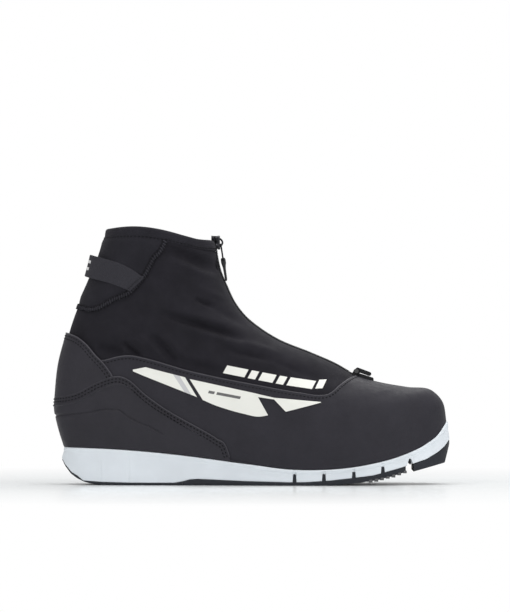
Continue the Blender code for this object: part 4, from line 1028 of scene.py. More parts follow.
def build_toe_block():
    """Rubber toe block with the recess that bares the binding bar."""
    top_line, foot = straight_line(WHITE_BOTTOM), straight_line(BLOCK_FOOT)
    low, high = 121.0, 148.6
    plan, mid, t = plan_loops([low, low + 0.4])
    x_low = mix(SOLE_LOW[0], SOLE_LOW[1], t)
    stations = np.concatenate([[low, low + 0.3], np.linspace(low + 0.8, high - 3.0, 40),
                               high - 3.0 * (1.0 - np.sin(np.linspace(0.05, 1.0, 14) * np.pi / 2.0))])
    sides, centre = foot_edges(plan, mid, x_low, stations)
    ring = []
    z_top, z_low = top_line(stations) - GAP, foot(stations)
    z_low = np.minimum(z_low, z_top - 0.1)
    for share, z in ((-1.0, 0.0), (-1.0, 0.12), (-1.0, 0.5), (-1.0, 0.9), (-0.995, 1.0), (-0.9, 1.0),
                     (0.0, 1.0), (0.9, 1.0), (0.995, 1.0), (1.0, 0.9), (1.0, 0.5), (1.0, 0.12), (1.0, 0.0),
                     (0.9, 0.0), (0.0, 0.0), (-0.9, 0.0)):
        y = centre + abs(share) * (sides[1 if share > 0 else -1] - centre)
        squeeze = 0.3 if z == 0.0 and abs(share) == 1.0 else 0.0
        y = y - np.sign(share) * squeeze
        ring.append(np.stack([stations, y, mix(z_low, z_top, z)], axis=1))
    grid = np.array(ring)
    faces = grid_faces(len(ring), len(stations), closed=True) + end_caps(len(ring), len(stations))
    block = make_piece("toe_rubber", grid.reshape(-1, 3), faces, MAT["rubber"], replaces=("toe_block",),
                       slot="dark_tread_rubber", smooth=40.0)
    middle = float(centre_y(*BINDING_BAR))
    recess = [(130.0, -5.0), (152.0, -5.0), (152.0, 14.0), (142.5, 20.6), (130.0, 20.6)]
    merge(block, side_prism("recess", recess, 18.0, middle, MAT["rubber"]), "DIFFERENCE")
    bore = side_prism("bore", circle(BINDING_BAR, 1.7, 24), 22.4, middle, MAT["rubber"])
    merge(block, bore, "DIFFERENCE")
    shade(block, 40.0)


def circle(centre, radius, count):
    angle = np.linspace(0.0, 2.0 * np.pi, count, endpoint=False)
    return [(centre[0] + radius * math.cos(a), centre[1] + radius * math.sin(a)) for a in angle]


def side_prism(name, outline, half, middle, material, body=None):
    """Prism with a side-view outline, spanning middle - half to middle + half across the boot."""
    count = len(outline)
    points = [(x, middle - half, z) for x, z in outline] + [(x, middle + half, z) for x, z in outline]
    faces = [tuple(range(count)), tuple(range(count, 2 * count))[::-1]]
    faces += [(k, k + count, (k + 1) % count + count, (k + 1) % count) for k in range(count)]
    item = make_piece(name, points, faces, material, body=body, smooth=40.0)
    work = bmesh.new()
    work.from_mesh(item.data)
    bmesh.ops.recalc_face_normals(work, faces=work.faces)
    work.to_mesh(item.data)
    work.free()
    return item


# ---------------------------------------------------------------- collar, lining, inside
def build_collar():
    """Padded panel behind the ankle, bound hem around the mouth."""
    run = 1.0 + np.linspace(-0.56, 0.56, 480)

    def foot(w):
        return np.minimum(HEM_LEVEL - 0.002, SEAM_TOP(w))

    def relief(at):
        puff = 1.1 * ease(0.0, 9.0, at.low) * ease(0.0, 6.0, at.high)
        x, z = at.x, at.z
        soft = 0.25 * np.sin(x / 8.0 + z / 9.0) * np.sin(z / 12.0 - x / 10.0)
        dimple = -0.7 * np.exp(-(((z - 164.0 + (x + 100.0) * 0.2) / 5.0) ** 2)) * ease(-92.0, -80.0, x)
        stitch = -0.18 * bell(at.high - 2.0, 0.35)
        return (puff + soft * ease(0.0, 5.0, at.near)) + dimple * ease(0.0, 6.0, at.near) + stitch
    collar = draped("collar_pad", run, foot, lambda w: np.full_like(w, HEM_LEVEL), MAT["collar"], -1.0, 0.1,
                    relief, 1.0, 90, ("collar_rear",), "collar_neoprene", ends=False)
    build_hem()


def build_hem():
    """Turned binding over the top edge: outer wall, round crest, inner wall."""
    start = column_at(np.array([ZIP_GAP]), np.array([HEM_LEVEL]))[0]
    w = np.linspace(start, 2.0 - start, 560)
    profile = [(-5.2, -7.0), (-5.0, -1.5), (-4.9, -0.3), (-4.5, 0.7), (-3.6, 1.45), (-2.4, 1.75),
               (-1.2, 1.45), (-0.3, 0.7), (0.05, -0.4), (0.05, -2.0), (0.0, -4.0), (-0.05, -6.2),
               (-0.15, -6.9), (-0.9, -7.0)]
    top, normal = skin(w, 1.0), skin_normal(w, 0.995)
    up = unit(skin(w, 1.0) - skin(w, 0.96))
    stand = proud(w, HEM_LEVEL + 0.02)[:, None]
    grid = np.array([top + normal * (offset + stand) + up * (rise - 1.75) for offset, rise in profile])
    faces = grid_faces(len(profile), len(w)) + end_caps(len(profile), len(w))
    make_piece("collar_binding", grid.reshape(-1, 3), faces, MAT["collar"], replaces=("collar_hem",),
               slot="collar_neoprene", uv=cloth_uv(grid), smooth=60.0)
    points = top + normal * (0.2 + stand) - up * 7.4
    stitches("hem_stitch", points, normal, MAT["dark_thread_and_stitch_shade"], long=1.9)


def build_seam():
    """Overlock seam between the cover and the collar pad: a cord of close slanted stitches."""
    for side, name in SIDES:
        run = -side * np.linspace(0.44, 1.0, 460)
        v = SEAM_TOP(run)
        keep = v < HEM_LEVEL - 0.004
        run, v = run[keep], v[keep]
        points, normals = lifted(run, v, 0.35), skin_normal(run, v)
        at, up = resampled(points, normals, 0.5)
        make_piece(f"seam_cord_{name}", *tube(at, 1.35, 8, normals=up, flat=0.5), MAT["collar"], smooth=180.0)
        overlock(f"seam_overlock_{name}", at, up)
        across = unit(np.cross(up, np.gradient(at, axis=0)))
        for edge, sign in (("upper", 1.0), ("lower", -1.0)):
            # Dark dots along both sides of the cord are painted shade, standing in for the shadowed stitch
            # holes.
            stitches(f"seam_holes_{edge}_{name}", at + across * sign * 1.5 + up * 0.1, up, MAT["dark_thread_and_stitch_shade"],
                     long=1.1, gap=1.5, thick=0.7)


def overlock(name, at, up, pitch=2.0, half=1.6):
    run = np.arange(0.0, len(at) - 4, pitch / 0.5)
    parts = []
    for k in run:
        a, b = int(k), min(len(at) - 1, int(k) + 2)
        forward = unit(at[b] - at[a])
        across = unit(np.cross(up[a], forward))
        ends = [at[a] - across * half, at[a] + up[a] * 0.75, at[a] + forward * 0.9 + across * half]
        t = np.linspace(0.0, 1.0, 7)[:, None]
        path = (1 - t) ** 2 * ends[0] + 2 * t * (1 - t) * (ends[1] + up[a] * 0.8) + t * t * ends[2]
        parts.append(tube(path, 0.4, 5))
    make_piece(name, *gather(parts), MAT["pale_thread"], smooth=180.0)


def lining_drop(w, v):
    u = np.abs((w + 1.0) % 2.0 - 1.0)
    front = 5.2 * (1.0 - ease(0.13, 0.30, u)) * ease(0.33, 0.43, v) * (1.0 - ease(0.82, 0.93, v))
    side = 3.4 * (1.0 - ease(0.42, 0.56, u)) * ease(0.36, 0.46, v) * (1.0 - ease(0.89, 0.95, v))
    return np.maximum(front, side)


def build_lining():
    """Brushed sock lining, seen through the mouth."""
    run = np.linspace(-1.0, 1.0, 200)

    def relief(at):
        soft = 0.3 * np.sin(at.z / 8.0) * np.sin(at.x / 9.0)
        return soft - lining_drop(at.w, at.v)
    piece = draped("lining_sock", run, lambda w: np.full_like(w, 0.03), lambda w: np.full_like(w, 0.985),
                   MAT["lining"], -4.5, -4.3, relief, 0.5, 90, ("lining",), "lining_textile", ends=False,
                   flip=True)


def build_tongue():
    """Padded tongue under the zip, quilted by two seams."""
    v = np.linspace(0.4375, 0.955, 90)
    w = np.linspace(-0.165, 0.165, 60)
    vv, ww = np.meshgrid(v, w, indexing="ij")
    edge = np.minimum(1.0, np.minimum((vv - v[0]) / 0.02, (v[-1] - vv) / 0.015))
    side = np.minimum(1.0, (0.165 - np.abs(ww)) / 0.02)
    puff = 1.2 * np.sqrt(np.clip(edge * side, 0.0, 1.0))
    quilt = 0.8 * bell(np.abs(ww) - 0.075, 0.006)
    drop = 5.4 * ease(0.33, 0.43, vv) * (1.0 - 0.45 * ease(0.86, 0.95, vv))
    outer = lifted(ww, vv, -4.9 + puff * 0.4 - quilt * 0.4 - drop * 0.2)
    inner = lifted(ww, vv, -6.2 - puff + quilt * 0.6 - drop * 0.35)
    uv = np.concatenate([cloth_uv(outer), cloth_uv(inner)])
    pad = make_piece("tongue_pad", *closed_sheet(outer, inner, 1), MAT["lining"], replaces=("tongue",),
                     slot="lining_textile", uv=uv, smooth=180.0)


def build_footbed():
    """Foam footbed with a raised rim and a shallow heel cup."""
    x = np.linspace(-134.0, 128.0, 160)
    share = np.linspace(-1.0, 1.0, 41)
    xx, ss = np.meshgrid(x, share, indexing="ij")
    end = np.clip(np.minimum((xx + 135.0) / 26.0, (130.0 - xx) / 34.0), 0.0, 1.0)
    half = (LAST_W(xx) - 7.6) * np.sqrt(1.0 - (1.0 - end) ** 2.4)
    arch = np.where(ss > 0, 3.2 * bell(xx + 25.0, 42.0), 0.0)
    y = centre_y(xx, 30.0) + ss * (half - arch)
    rim = 1.0 - np.abs(ss) ** 10
    z = FEATHER_Z(xx) + 2.6 + 4.0 * rim + 1.6 * np.abs(ss) ** 3 * ease(-10.0, -120.0, xx) * rim
    top = np.stack([xx, y, z], axis=-1)
    base = top.copy()
    base[..., 2] = FEATHER_Z(xx) + 2.4
    uv = np.concatenate([cloth_uv(top), cloth_uv(base)])
    pad = make_piece("footbed_pad", *closed_sheet(top, base, 0), MAT["foam"], replaces=("footbed",),
                     slot="footbed_foam", uv=uv, smooth=60.0)


def carry_over():
    """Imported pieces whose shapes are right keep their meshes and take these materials."""
    keep = {"toe_bar": "steel", "shank": "stiff", "lasting_board": "board", "eyestay_lateral": "stiff",
            "eyestay_medial": "stiff", "heel_stiffener": "stiff", "toe_puff": "stiff"}
    for node, key in keep.items():
        item = frame_object(node)
        for k in range(max(1, len(item.material_slots))):
            if not item.material_slots:
                item.data.materials.append(MAT[key])
            item.material_slots[k].material = MAT[key]


def frame_object(node):
    item = bpy.data.objects.get(node)
    if item is None:
        for candidate in bpy.data.objects:
            if candidate.get("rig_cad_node") == node:
                return candidate
    return item


# ---------------------------------------------------------------- heel loop
LOOP_TOP = [(-124.0, 172.2), (-109.0, 169.5), (-91.0, 162.6), (-83.0, 157.0)]
LOOP_LOW = [(-124.0, 155.4), (-106.5, 151.4), (-93.0, 146.2), (-83.0, 141.6)]
LOOP_GAPS = (2.9, 5.2)
LOOP_END = (0.648, 0.582)


def build_loop():
    """Webbing pull loop around the heel, its ends sewn in with the seam, with two woven stripes."""
    top, low = smooth_line(LOOP_TOP), smooth_line(LOOP_LOW)
    share = np.linspace(-1.0, 1.0, 300)
    t = np.concatenate([[0.0, 0.01, 0.03], np.linspace(0.06, 0.94, 60), [0.97, 0.99, 1.0]])[:, None]
    ww = 1.0 + share * (1.0 - mix(LOOP_END[0], LOOP_END[1], t))
    v = mix(level(ww, low), level(ww, top), t)
    u = 1.0 - np.abs(ww - 1.0)
    stand = GAP + mix(LOOP_GAPS[0], LOOP_GAPS[1], t) * ease(0.74, 0.93, u)
    flat, normal = skin(ww, v), skin_normal(ww, v)
    edge = np.minimum(1.0, np.minimum(t, 1.0 - t) / 0.03)
    along = running(flat[30])
    rib = 0.10 * np.sin(2.0 * np.pi * along / 1.5)[None, :] * edge
    outer = flat + normal * (stand + 1.5 - 0.55 * (1.0 - np.sqrt(np.clip(edge, 0, 1))) + rib)[..., None]
    inner = flat + normal * (stand + 0.55 * (1.0 - np.sqrt(np.clip(edge, 0, 1))) - rib)[..., None]
    faces = grid_faces(*ww.shape)
    count = ww.size
    back = [tuple(count + k for k in f[::-1]) for f in faces]
    rows, columns = ww.shape
    rim = []
    for row in (0, rows - 1):
        for c in range(columns - 1):
            rim.append((row * columns + c, row * columns + c + 1, count + row * columns + c + 1,
                        count + row * columns + c))
    for column in (0, columns - 1):
        for r in range(rows - 1):
            a, b = r * columns + column, (r + 1) * columns + column
            rim.append((a, b, count + b, count + a))
    points = np.concatenate([outer.reshape(-1, 3), inner.reshape(-1, 3)])
    uv = np.concatenate([cloth_uv(outer), cloth_uv(inner)])
    make_piece("heel_webbing", points, faces + back + rim, MAT["webbing"], replaces=("heel_loop",),
               slot="loop_webbing", uv=uv, smooth=60.0)
    for number, middle in enumerate((0.36, 0.68)):
        stripe_rows = np.abs(t[:, 0] - middle) < 0.075
        cols = np.abs(share) < 0.215
        patch = (flat + normal * (stand + 1.62 + rib)[..., None])[np.ix_(stripe_rows, cols)]
        make_grid(f"loop_stripe_{number + 1}", patch, MAT["stripe"], uv=cloth_uv(patch), smooth=180.0)
    for side, name in SIDES:
        t_end = np.linspace(0.04, 0.96, 40)
        w_end = 1.0 + side * (1.0 - mix(LOOP_END[0], LOOP_END[1], t_end) - 0.012)
        vv = mix(level(w_end, low), level(w_end, top), t_end)
        points, normals = lifted(w_end, vv, 2.0), skin_normal(w_end, vv)
        stitches(f"loop_tack_{name}", points, normals, MAT["thread"], long=1.6, gap=0.5)


# ---------------------------------------------------------------- zip
PULL_REST = 0.035
PULL_AXIS, PULL_LEAN = (-23.8, 181.0), math.radians(8.5)
COIL_V = (0.37, 0.985)
SLIDER_HALF = 5.5


def front_frame(v):
    """Centre points, tangents (upward) and outward normals of the front centre line."""
    v = np.asarray(v, float)
    a, b = np.stack(FRONT(np.clip(v - 0.008, 0, 1)), -1), np.stack(FRONT(np.clip(v + 0.008, 0, 1)), -1)
    t = unit(b - a)
    middle = np.stack(FRONT(v), -1)
    centre = np.stack([middle[:, 0], centre_y(middle[:, 0], middle[:, 1]), middle[:, 1]], -1)
    tangent = np.stack([t[:, 0], np.zeros(len(v)), t[:, 1]], -1)
    normal = np.stack([t[:, 1], np.zeros(len(v)), -t[:, 0]], -1)
    return centre + normal * proud(0.0, v)[:, None], tangent, normal


def build_tapes():
    """Woven tapes under the cover edges, with the turned cover edge stitched down beside the teeth."""
    v = np.linspace(0.345, 0.985, 200)
    for side, name in SIDES:
        y = np.linspace(0.35, 6.5, 12)
        vv, yy = np.meshgrid(v, y, indexing="ij")
        w = column_at(yy, vv) * -side
        lift = -0.95 + 0.35 * ease(2.5, 0.6, yy)
        points = lifted(w, vv, lift)
        make_grid(f"zip_tape_{name}", points, MAT["tape"], replaces=(f"zip_tape_{name}",),
                  slot="zip_tape_weave", uv=cloth_uv(points), smooth=180.0)
        run = np.linspace(0.36, 0.962, 200)
        w = column_at(np.full_like(run, ZIP_GAP + 2.6), run) * -side
        stitches(f"zip_stitch_{name}", lifted(w, run, 0.1), skin_normal(w, run), MAT["thread"], thick=0.22)
        w = column_at(np.full_like(run, ZIP_GAP), run) * -side
        make_piece(f"zip_edge_{name}", *tube(lifted(w, run, 0.0), 0.75, 8, normals=skin_normal(w, run)),
                   MAT["tape"], smooth=180.0)


def build_teeth():
    """Nylon coil: one interlocking row each side of the centre line."""
    v = np.linspace(COIL_V[0], COIL_V[1], 800)
    centre, tangent, normal = front_frame(v)
    at, up = resampled(centre, normal, 1.25)
    for side, name in SIDES:
        parts = []
        for k in range(len(at) - 1):
            forward = unit(at[k + 1] - at[k])
            across = np.array([0.0, float(side), 0.0])
            base = at[k] + forward * (0.62 if side > 0 else 0.0)
            angle = np.linspace(-0.3, 1.3, 7) * np.pi
            path = (base + across * (0.75 + 0.85 * np.cos(angle)[:, None] * -1.0)
                    + up[k] * (0.5 + 0.55 * np.sin(angle)[:, None]) + forward * (angle[:, None] - 1.5) * 0.04)
            parts.append(tube(path, 0.3, 5))
        core = at + np.array([0.0, side * 1.1, 0.0]) + up * 0.4
        parts.append(tube(core, 0.42, 6, normals=up))
        make_piece(f"zip_teeth_{name}", *gather(parts), MAT["coil"], replaces=(f"zip_coil_{name}",),
                   slot="zip_coil_nylon", smooth=180.0)
    stop_v = np.linspace(COIL_V[0] - 0.014, COIL_V[0] - 0.003, 6)
    centre, tangent, normal = front_frame(stop_v)
    middle, up, forward = centre[3], normal[3], tangent[3]
    verts, faces = block_mesh((0, 0, 0), (1.2, 1.7, 0.95), 0.4)
    turned = middle + verts[:, :1] * forward + verts[:, 1:2] * np.array([0, 1, 0]) + (verts[:, 2:] + 0.1) * up
    make_piece("zip_stop", turned, faces, MAT["slider"], replaces=("zip_bottom_stop",), slot="slider_metal",
               smooth=40.0)


def arc_point(radius, angle):
    a = math.pi + angle
    return ZIP_CENTRE[0] + radius * math.cos(a), ZIP_CENTRE[1] + radius * math.sin(a)


def slider_plate(name, roof, foot, crown, replaces=(), slot=None):
    """Waisted plate following the zip line, wide at the mouth of the slider; roof and foot are lifts."""
    spread = SLIDER_HALF / ZIP_RADIUS
    t = np.linspace(-1.0, 1.0, 33)
    half = slider_half(t)
    share = np.concatenate([[-1.0, -0.97, -0.9], np.linspace(-0.75, 0.75, 13), [0.9, 0.97, 1.0]])
    tt, qq = np.meshgrid(t, share, indexing="ij")
    rim = 0.45 * (1.0 - np.sqrt(1.0 - np.clip((np.abs(qq) - 0.75) / 0.25, 0.0, 1.0) ** 2))
    edge = np.minimum(1.0, (1.0 - np.abs(tt)) / 0.12)
    soft = np.maximum(rim, 0.45 * (1.0 - np.sqrt(edge * (2.0 - edge))))
    angle = math.pi + PULL_REST - tt * spread
    grids = []
    for lift, sign in ((roof, 1.0), (foot, -1.0)):
        radius = ZIP_RADIUS - (lift + (crown * (1.0 - qq ** 2) if sign > 0 else 0.0) - sign * soft)
        grids.append(np.stack([ZIP_CENTRE[0] + radius * np.cos(angle), qq * half[:, None],
                               ZIP_CENTRE[1] + radius * np.sin(angle)], axis=-1))
    points, faces = closed_sheet(*grids)
    make_piece(name, points, faces, MAT["slider"], body="slider", replaces=replaces, slot=slot, smooth=45.0)


def slider_half(t):
    half = 3.3 + 1.0 * ease(-0.2, 0.9, t) - 0.5 * bell(t + 0.1, 0.25)
    return np.minimum(half, 4.25) * np.sqrt(np.clip(1.0 - np.abs(t) ** 8, 0.05, 1.0))


def slider_flanges(name, low, high):
    """Walls of one plate that close round the tape, leaving a slot for it."""
    t = np.linspace(-0.86, 0.86, 25)
    angle = math.pi + PULL_REST - t * SLIDER_HALF / ZIP_RADIUS
    parts = []
    for side in (-1, 1):
        grids = []
        for inset in (0.0, 0.75):
            rows = []
            for lift, tuck in ((low, 0.2), (low + 0.15, 0.0), (high, 0.0)):
                radius = ZIP_RADIUS - lift
                rows.append(np.stack([ZIP_CENTRE[0] + radius * np.cos(angle),
                                      side * (slider_half(t) - 0.08 - inset - tuck * (0.5 - inset)),
                                      ZIP_CENTRE[1] + radius * np.sin(angle)], axis=-1))
            grids.append(np.array(rows))
        parts.append(closed_sheet(*grids))
    points, faces = gather(parts)
    make_piece(name, points, faces, MAT["slider"], body="slider", smooth=45.0)


def build_slider():
    """Slider: front and back plates, the post that joins them, and the bridge that carries the pull."""
    slider_plate("slider_body", 3.2, 1.6, 0.35, ("zip_slider",), "slider_metal")
    slider_plate("slider_back", -2.0, -3.0, 0.0)
    for name, low, high in (("front", -0.1, 1.8), ("back", -2.2, -1.15)):
        slider_flanges(f"slider_flanges_{name}", low, high)
    wedge = []
    for lift, ends in ((2.9, (-5.1, 1.2)), (-2.6, (1.2, -5.1))):
        wedge += [arc_point(ZIP_RADIUS - lift, PULL_REST + end / ZIP_RADIUS) for end in ends]
    post = side_prism("slider_post", wedge, 0.75, 0.0, MAT["slider"], body="slider")
    soften(post, 0.2)
    arch = []
    for s in np.linspace(0.0, 1.0, 17):
        x, z = arc_point(ZIP_RADIUS - 3.2 - 2.2 * math.sin(math.pi * s) ** 0.7,
                         PULL_REST + mix(-0.036, 0.036, s))
        arch.append((x, 0.0, z))
    make_piece("slider_bridge", *tube(arch, 0.7, 10, flat=0.8), MAT["slider"], body="slider", smooth=60.0)


def pull_frame():
    down = np.array([math.sin(PULL_LEAN), 0.0, -math.cos(PULL_LEAN)])
    out = np.array([math.cos(PULL_LEAN), 0.0, math.sin(PULL_LEAN)])
    return np.array([PULL_AXIS[0], 0.0, PULL_AXIS[1]]), down, out


def build_pull():
    """Thin cord loop through the slider's bridge, with a moulded rubber tab on its foot."""
    origin, down, out = pull_frame()
    reach, half, bend = 13.0, 2.6, 1.6
    path = []
    corners = ((half - bend, bend, 0.5, 0.0), (half - bend, reach - bend, 0.0, -0.5),
               (-half + bend, reach - bend, -0.5, -1.0), (-half + bend, bend, -1.0, -1.5))
    for cy, cs, start, end in corners:
        for k in range(9):
            a = math.pi * mix(start, end, k / 8.0)
            path.append(origin + np.array([0, cy + bend * math.cos(a), 0]) + down * (cs - bend * math.sin(a)))
    path = np.array(path)
    ahead = np.roll(path, -1, axis=0)
    dense = np.concatenate([np.linspace(a, b, 4)[:-1] for a, b in zip(path, ahead)])
    make_piece("pull_cord", *tube(dense, 0.6, 8, closed=True), MAT["dark_thread_and_stitch_shade"], body="pull",
               replaces=("zip_pull_cord",), slot="pull_cord", smooth=180.0)
    profile = [(10.4, 1.2, 1.5), (10.9, 1.6, 2.1), (12.0, 1.85, 2.4), (14.5, 1.85, 2.4), (16.0, 1.45, 2.35),
               (17.5, 1.2, 2.3), (19.0, 1.05, 2.3), (26.5, 0.9, 2.3), (27.6, 0.7, 2.1), (28.0, 0.4, 1.8)]
    down_at, thick, wide = (np.array(c) for c in zip(*profile))
    s = np.linspace(10.4, 28.0, 60)
    thick, wide = np.interp(s, down_at, thick), np.interp(s, down_at, wide)
    ribs = 0.12 * np.sin(2 * np.pi * s / 1.3) * ease(18.5, 19.5, s) * ease(27.0, 26.0, s)
    angle = np.linspace(0, 2 * np.pi, 28, endpoint=False)
    c, n = np.cos(angle), np.sin(angle)
    power = 0.5
    ring_y = np.sign(c) * np.abs(c) ** power
    ring_h = np.sign(n) * np.abs(n) ** power
    points = []
    for k in range(len(s)):
        for a in range(len(angle)):
            h = ring_h[a] * (thick[k] + ribs[k] * (1 if ring_h[a] > 0 else 0))
            points.append(origin + down * s[k] + np.array([0, ring_y[a] * wide[k], 0]) + out * h)
    count = len(angle)
    faces = grid_faces(len(s), count, wrap=True)
    faces += [tuple(range(count)), tuple(range((len(s) - 1) * count, len(s) * count))[::-1]]
    make_piece("pull_tab", np.array(points), faces, MAT["plastic_soft"], body="pull",
               replaces=("zip_pull_tab",), slot="pull_tab_rubber", smooth=50.0)


# ---------------------------------------------------------------- gaiter ring
RING_AXIS, RING_TILT, RING_MID = (78.6, 85.3), math.radians(-20.0), 1.6


def around(points, axis=RING_AXIS, angle=RING_TILT):
    c, s = math.cos(angle), math.sin(angle)
    return [(axis[0] + x * c - z * s, axis[1] + x * s + z * c) for x, z in points]


SORT_ALONG = Vector((1.0, 0.731, 0.377))


def soften(item, width, segments=2, angle=30.0):
    """Round the long sharp edges of a moulded piece."""
    work = bmesh.new()
    work.from_mesh(item.data)
    bmesh.ops.remove_doubles(work, verts=work.verts, dist=0.00001)
    bmesh.ops.dissolve_limit(work, angle_limit=math.radians(2.0), verts=work.verts, edges=work.edges)
    edges = [e for e in work.edges if len(e.link_faces) == 2 and e.calc_length() > 2.5 * width * MM
             and e.calc_face_angle(0.0) > math.radians(angle)]
    bmesh.ops.bevel(work, geom=edges, offset=width * MM, segments=segments, affect="EDGES",
                    clamp_overlap=False)
    bmesh.ops.triangulate(work, faces=[f for f in work.faces if len(f.verts) > 4])
    work.faces.sort(key=lambda f: f.calc_center_median().dot(SORT_ALONG))  # one order in every run
    work.to_mesh(item.data)
    work.free()
    shade(item, 40.0)


def build_ring():
    """Hinged plastic loop that a gaiter or strap hooks into, its base riveted to the vamp."""
    plastic, steel = MAT["plastic"], MAT["rivet"]
    ax = RING_AXIS
    plate = [(81.2, 80.4), (91.0, 76.9), (91.6, 77.4), (91.4, 80.2), (81.4, 83.5)]
    base = side_prism("ring_plate", plate, 5.9, RING_MID, plastic)
    for y in (-4.95, 4.95):
        lug = [(ax[0] + x, ax[1] + z) for x, z in
               ((-4.2, -3.4), (-2.2, -4.6), (3.5, -5.4), (1.9, 0.6), (1.0, 1.7), (-1.0, 1.7), (-1.9, 0.6))]
        merge(base, side_prism("lug", lug, 0.85, RING_MID + y, plastic), "UNION")
    merge(base, side_prism("bore", circle(ax, 1.0, 24), 9.0, RING_MID, plastic), "DIFFERENCE")
    soften(base, 0.3)
    dress(base, "boot", ("ring_base",), "ring_plastic")
    pin = side_prism("ring_rivet", circle(ax, 0.9, 28), 6.3, RING_MID, steel)
    for y in (-6.6, 6.6):
        merge(pin, side_prism("head", circle(ax, 1.6, 28), 0.4, RING_MID + y, steel), "UNION")
    soften(pin, 0.18)
    dress(pin, "boot", ("ring_pin",), "ring_pin_steel")
    frame_line = around([(-1.2, -0.3), (10.4, -0.3), (11.3, 0.5), (11.3, 2.0), (10.6, 2.8), (-0.6, 2.9)])
    ring = side_prism("ring_loop", frame_line, 5.6, RING_MID, plastic)
    hole = around([(2.6, -2.0), (8.8, -2.0), (8.8, 6.0), (2.6, 6.0)])
    merge(ring, side_prism("hole", hole, 3.7, RING_MID, plastic), "DIFFERENCE")
    for y in (-4.9, 4.9):
        slot = around([(-4.0, -3.0), (2.4, -3.0), (2.4, 6.0), (-4.0, 6.0)])
        merge(ring, side_prism("slot", slot, 1.25, RING_MID + y, plastic), "DIFFERENCE")
    merge(ring, side_prism("barrel", circle(ax, 1.8, 28), 3.6, RING_MID, plastic), "UNION")
    merge(ring, side_prism("bore", circle(ax, 1.0, 24), 9.0, RING_MID, plastic), "DIFFERENCE")
    soften(ring, 0.35)
    dress(ring, "ring", ("gaiter_ring",), "ring_plastic")


# ---------------------------------------------------------------- side film graphics
BAR_START, BAR_WIDTHS, BAR_SPACE = -22.0, (16.0, 5.5, 10.5, 5.5, 19.0, 5.5), 2.5
BAR_RISE, BAR_TALL, BAR_LEAN = 4.3, 6.4, 3.2
OVER_FILM = {"offset": 1.95, "thick": 0.2}


def film(name, top, low, side, material, xs, lean=(0.0, 0.0), offset=1.75, thick=0.35, replaces=(),
         slot=None):
    """Thin film between two side-view lines; lean slants its two ends."""
    top_line, low_line = straight_line(top), straight_line(low)
    t = np.linspace(0.0, 1.0, 90)
    x_low = mix(xs[0], xs[1], t)
    x_top = mix(xs[0] + lean[0], xs[1] + lean[1], t)
    z_low, z_top = low_line(x_low), np.maximum(low_line(x_low) + 0.05, top_line(x_top))
    s = np.concatenate([[0.0, 0.0, 0.02], np.linspace(0.06, 0.94, 18), [0.98, 1.0, 1.0]])[:, None]
    x, z = mix(x_low, x_top, s), mix(z_low, z_top, s)
    w, v = to_side(x, z, side)
    lift = np.full(x.shape, offset + thick)
    lift[0], lift[-1] = offset - 0.35, offset - 0.35
    points = lifted(w, v, lift)
    first, last = lifted(w[:, :1], v[:, :1], offset - 0.35), lifted(w[:, -1:], v[:, -1:], offset - 0.35)
    grid = np.concatenate([first, points, last], axis=1)
    make_grid(name, grid, material, side > 0, replaces=replaces, slot=slot, smooth=40.0)


def curved(points, count=24):
    line = smooth_line(points)
    return [(float(x), float(line(x))) for x in np.linspace(points[0][0], points[-1][0], count)]


def build_decals():
    """Slanted film shapes on both sides, with a grey accent. No lettering."""
    rear_top = [(-90.0, 86.6), (-80.0, 88.6), (-50.0, 80.9)]
    rear_low = [(-90.0, 85.8), (-82.0, 82.4), (-41.1, 66.1)]
    accent = [(-65.0, 84.7), (-50.0, 80.9)], [(-57.0, 72.4), (-41.1, 66.2)]
    mid_top = [(-46.9, 79.7), (-12.0, 72.1), (3.0, 68.9)]
    mid_low = curved([(-36.6, 63.9), (-28.0, 60.2), (-17.7, 56.8), (-6.0, 53.7), (5.4, 51.6), (12.2, 52.7)])
    strip = [(1.8, 69.1), (18.0, 65.3)], [(2.0, 66.6), (18.0, 64.2)]
    front_top = [(16.0, 65.7), (51.5, 62.2)]
    front_low = [(16.0, 64.9), (25.2, 55.3), (51.5, 61.9)]
    note_top, note_low = [(-36.0, 71.8), (-6.0, 66.2)], [(-36.0, 69.7), (-6.0, 64.1)]
    for side, label in SIDES:
        film(f"film_{label}_rear", rear_top, rear_low, side, MAT["film"], (-89.3, -41.3), lean=(0.0, -9.0),
             replaces=(f"decal_{label}_rear",), slot="decal_film")
        film(f"film_{label}_accent", *accent, side, MAT["film_grey"], (-50.5, -45.5), lean=(-8.8, -8.8),
             **OVER_FILM)
        film(f"film_{label}_middle", mid_top, mid_low, side, MAT["film"], (-36.8, 12.0), lean=(-10.0, -9.0),
             replaces=(f"decal_{label}_middle",), slot="decal_film")
        film(f"film_{label}_strip", *strip, side, MAT["film"], (2.0, 17.6), thick=0.42)
        film(f"film_{label}_front", front_top, front_low, side, MAT["film"], (16.4, 51.2),
             replaces=(f"decal_{label}_front",), slot="decal_film")
        for k, ends in enumerate(((-33.0, -28.5), (-26.8, -9.0))):
            film(f"note_{label}_{k + 1}", note_top, note_low, side, MAT["film_dark"], ends, lean=(0.8, 0.8),
                 **OVER_FILM)
        build_bars(side, label)


def build_bars(side, label):
    """Plain slanted bars along the cover, above the shell edge."""
    line = smooth_line(SHELL_EDGE)
    x = BAR_START
    for k, wide in enumerate(BAR_WIDTHS):
        base = [(px, float(line(px)) + BAR_RISE) for px in (x - 6.0, x + wide + 6.0)]
        head = [(px, pz + BAR_TALL) for px, pz in base]
        film(f"bar_{label}_{k + 1}", head, base, side, MAT["film"], (x, x + wide), lean=(BAR_LEAN, BAR_LEAN),
             offset=0.05, thick=0.2)
        x += wide + BAR_SPACE


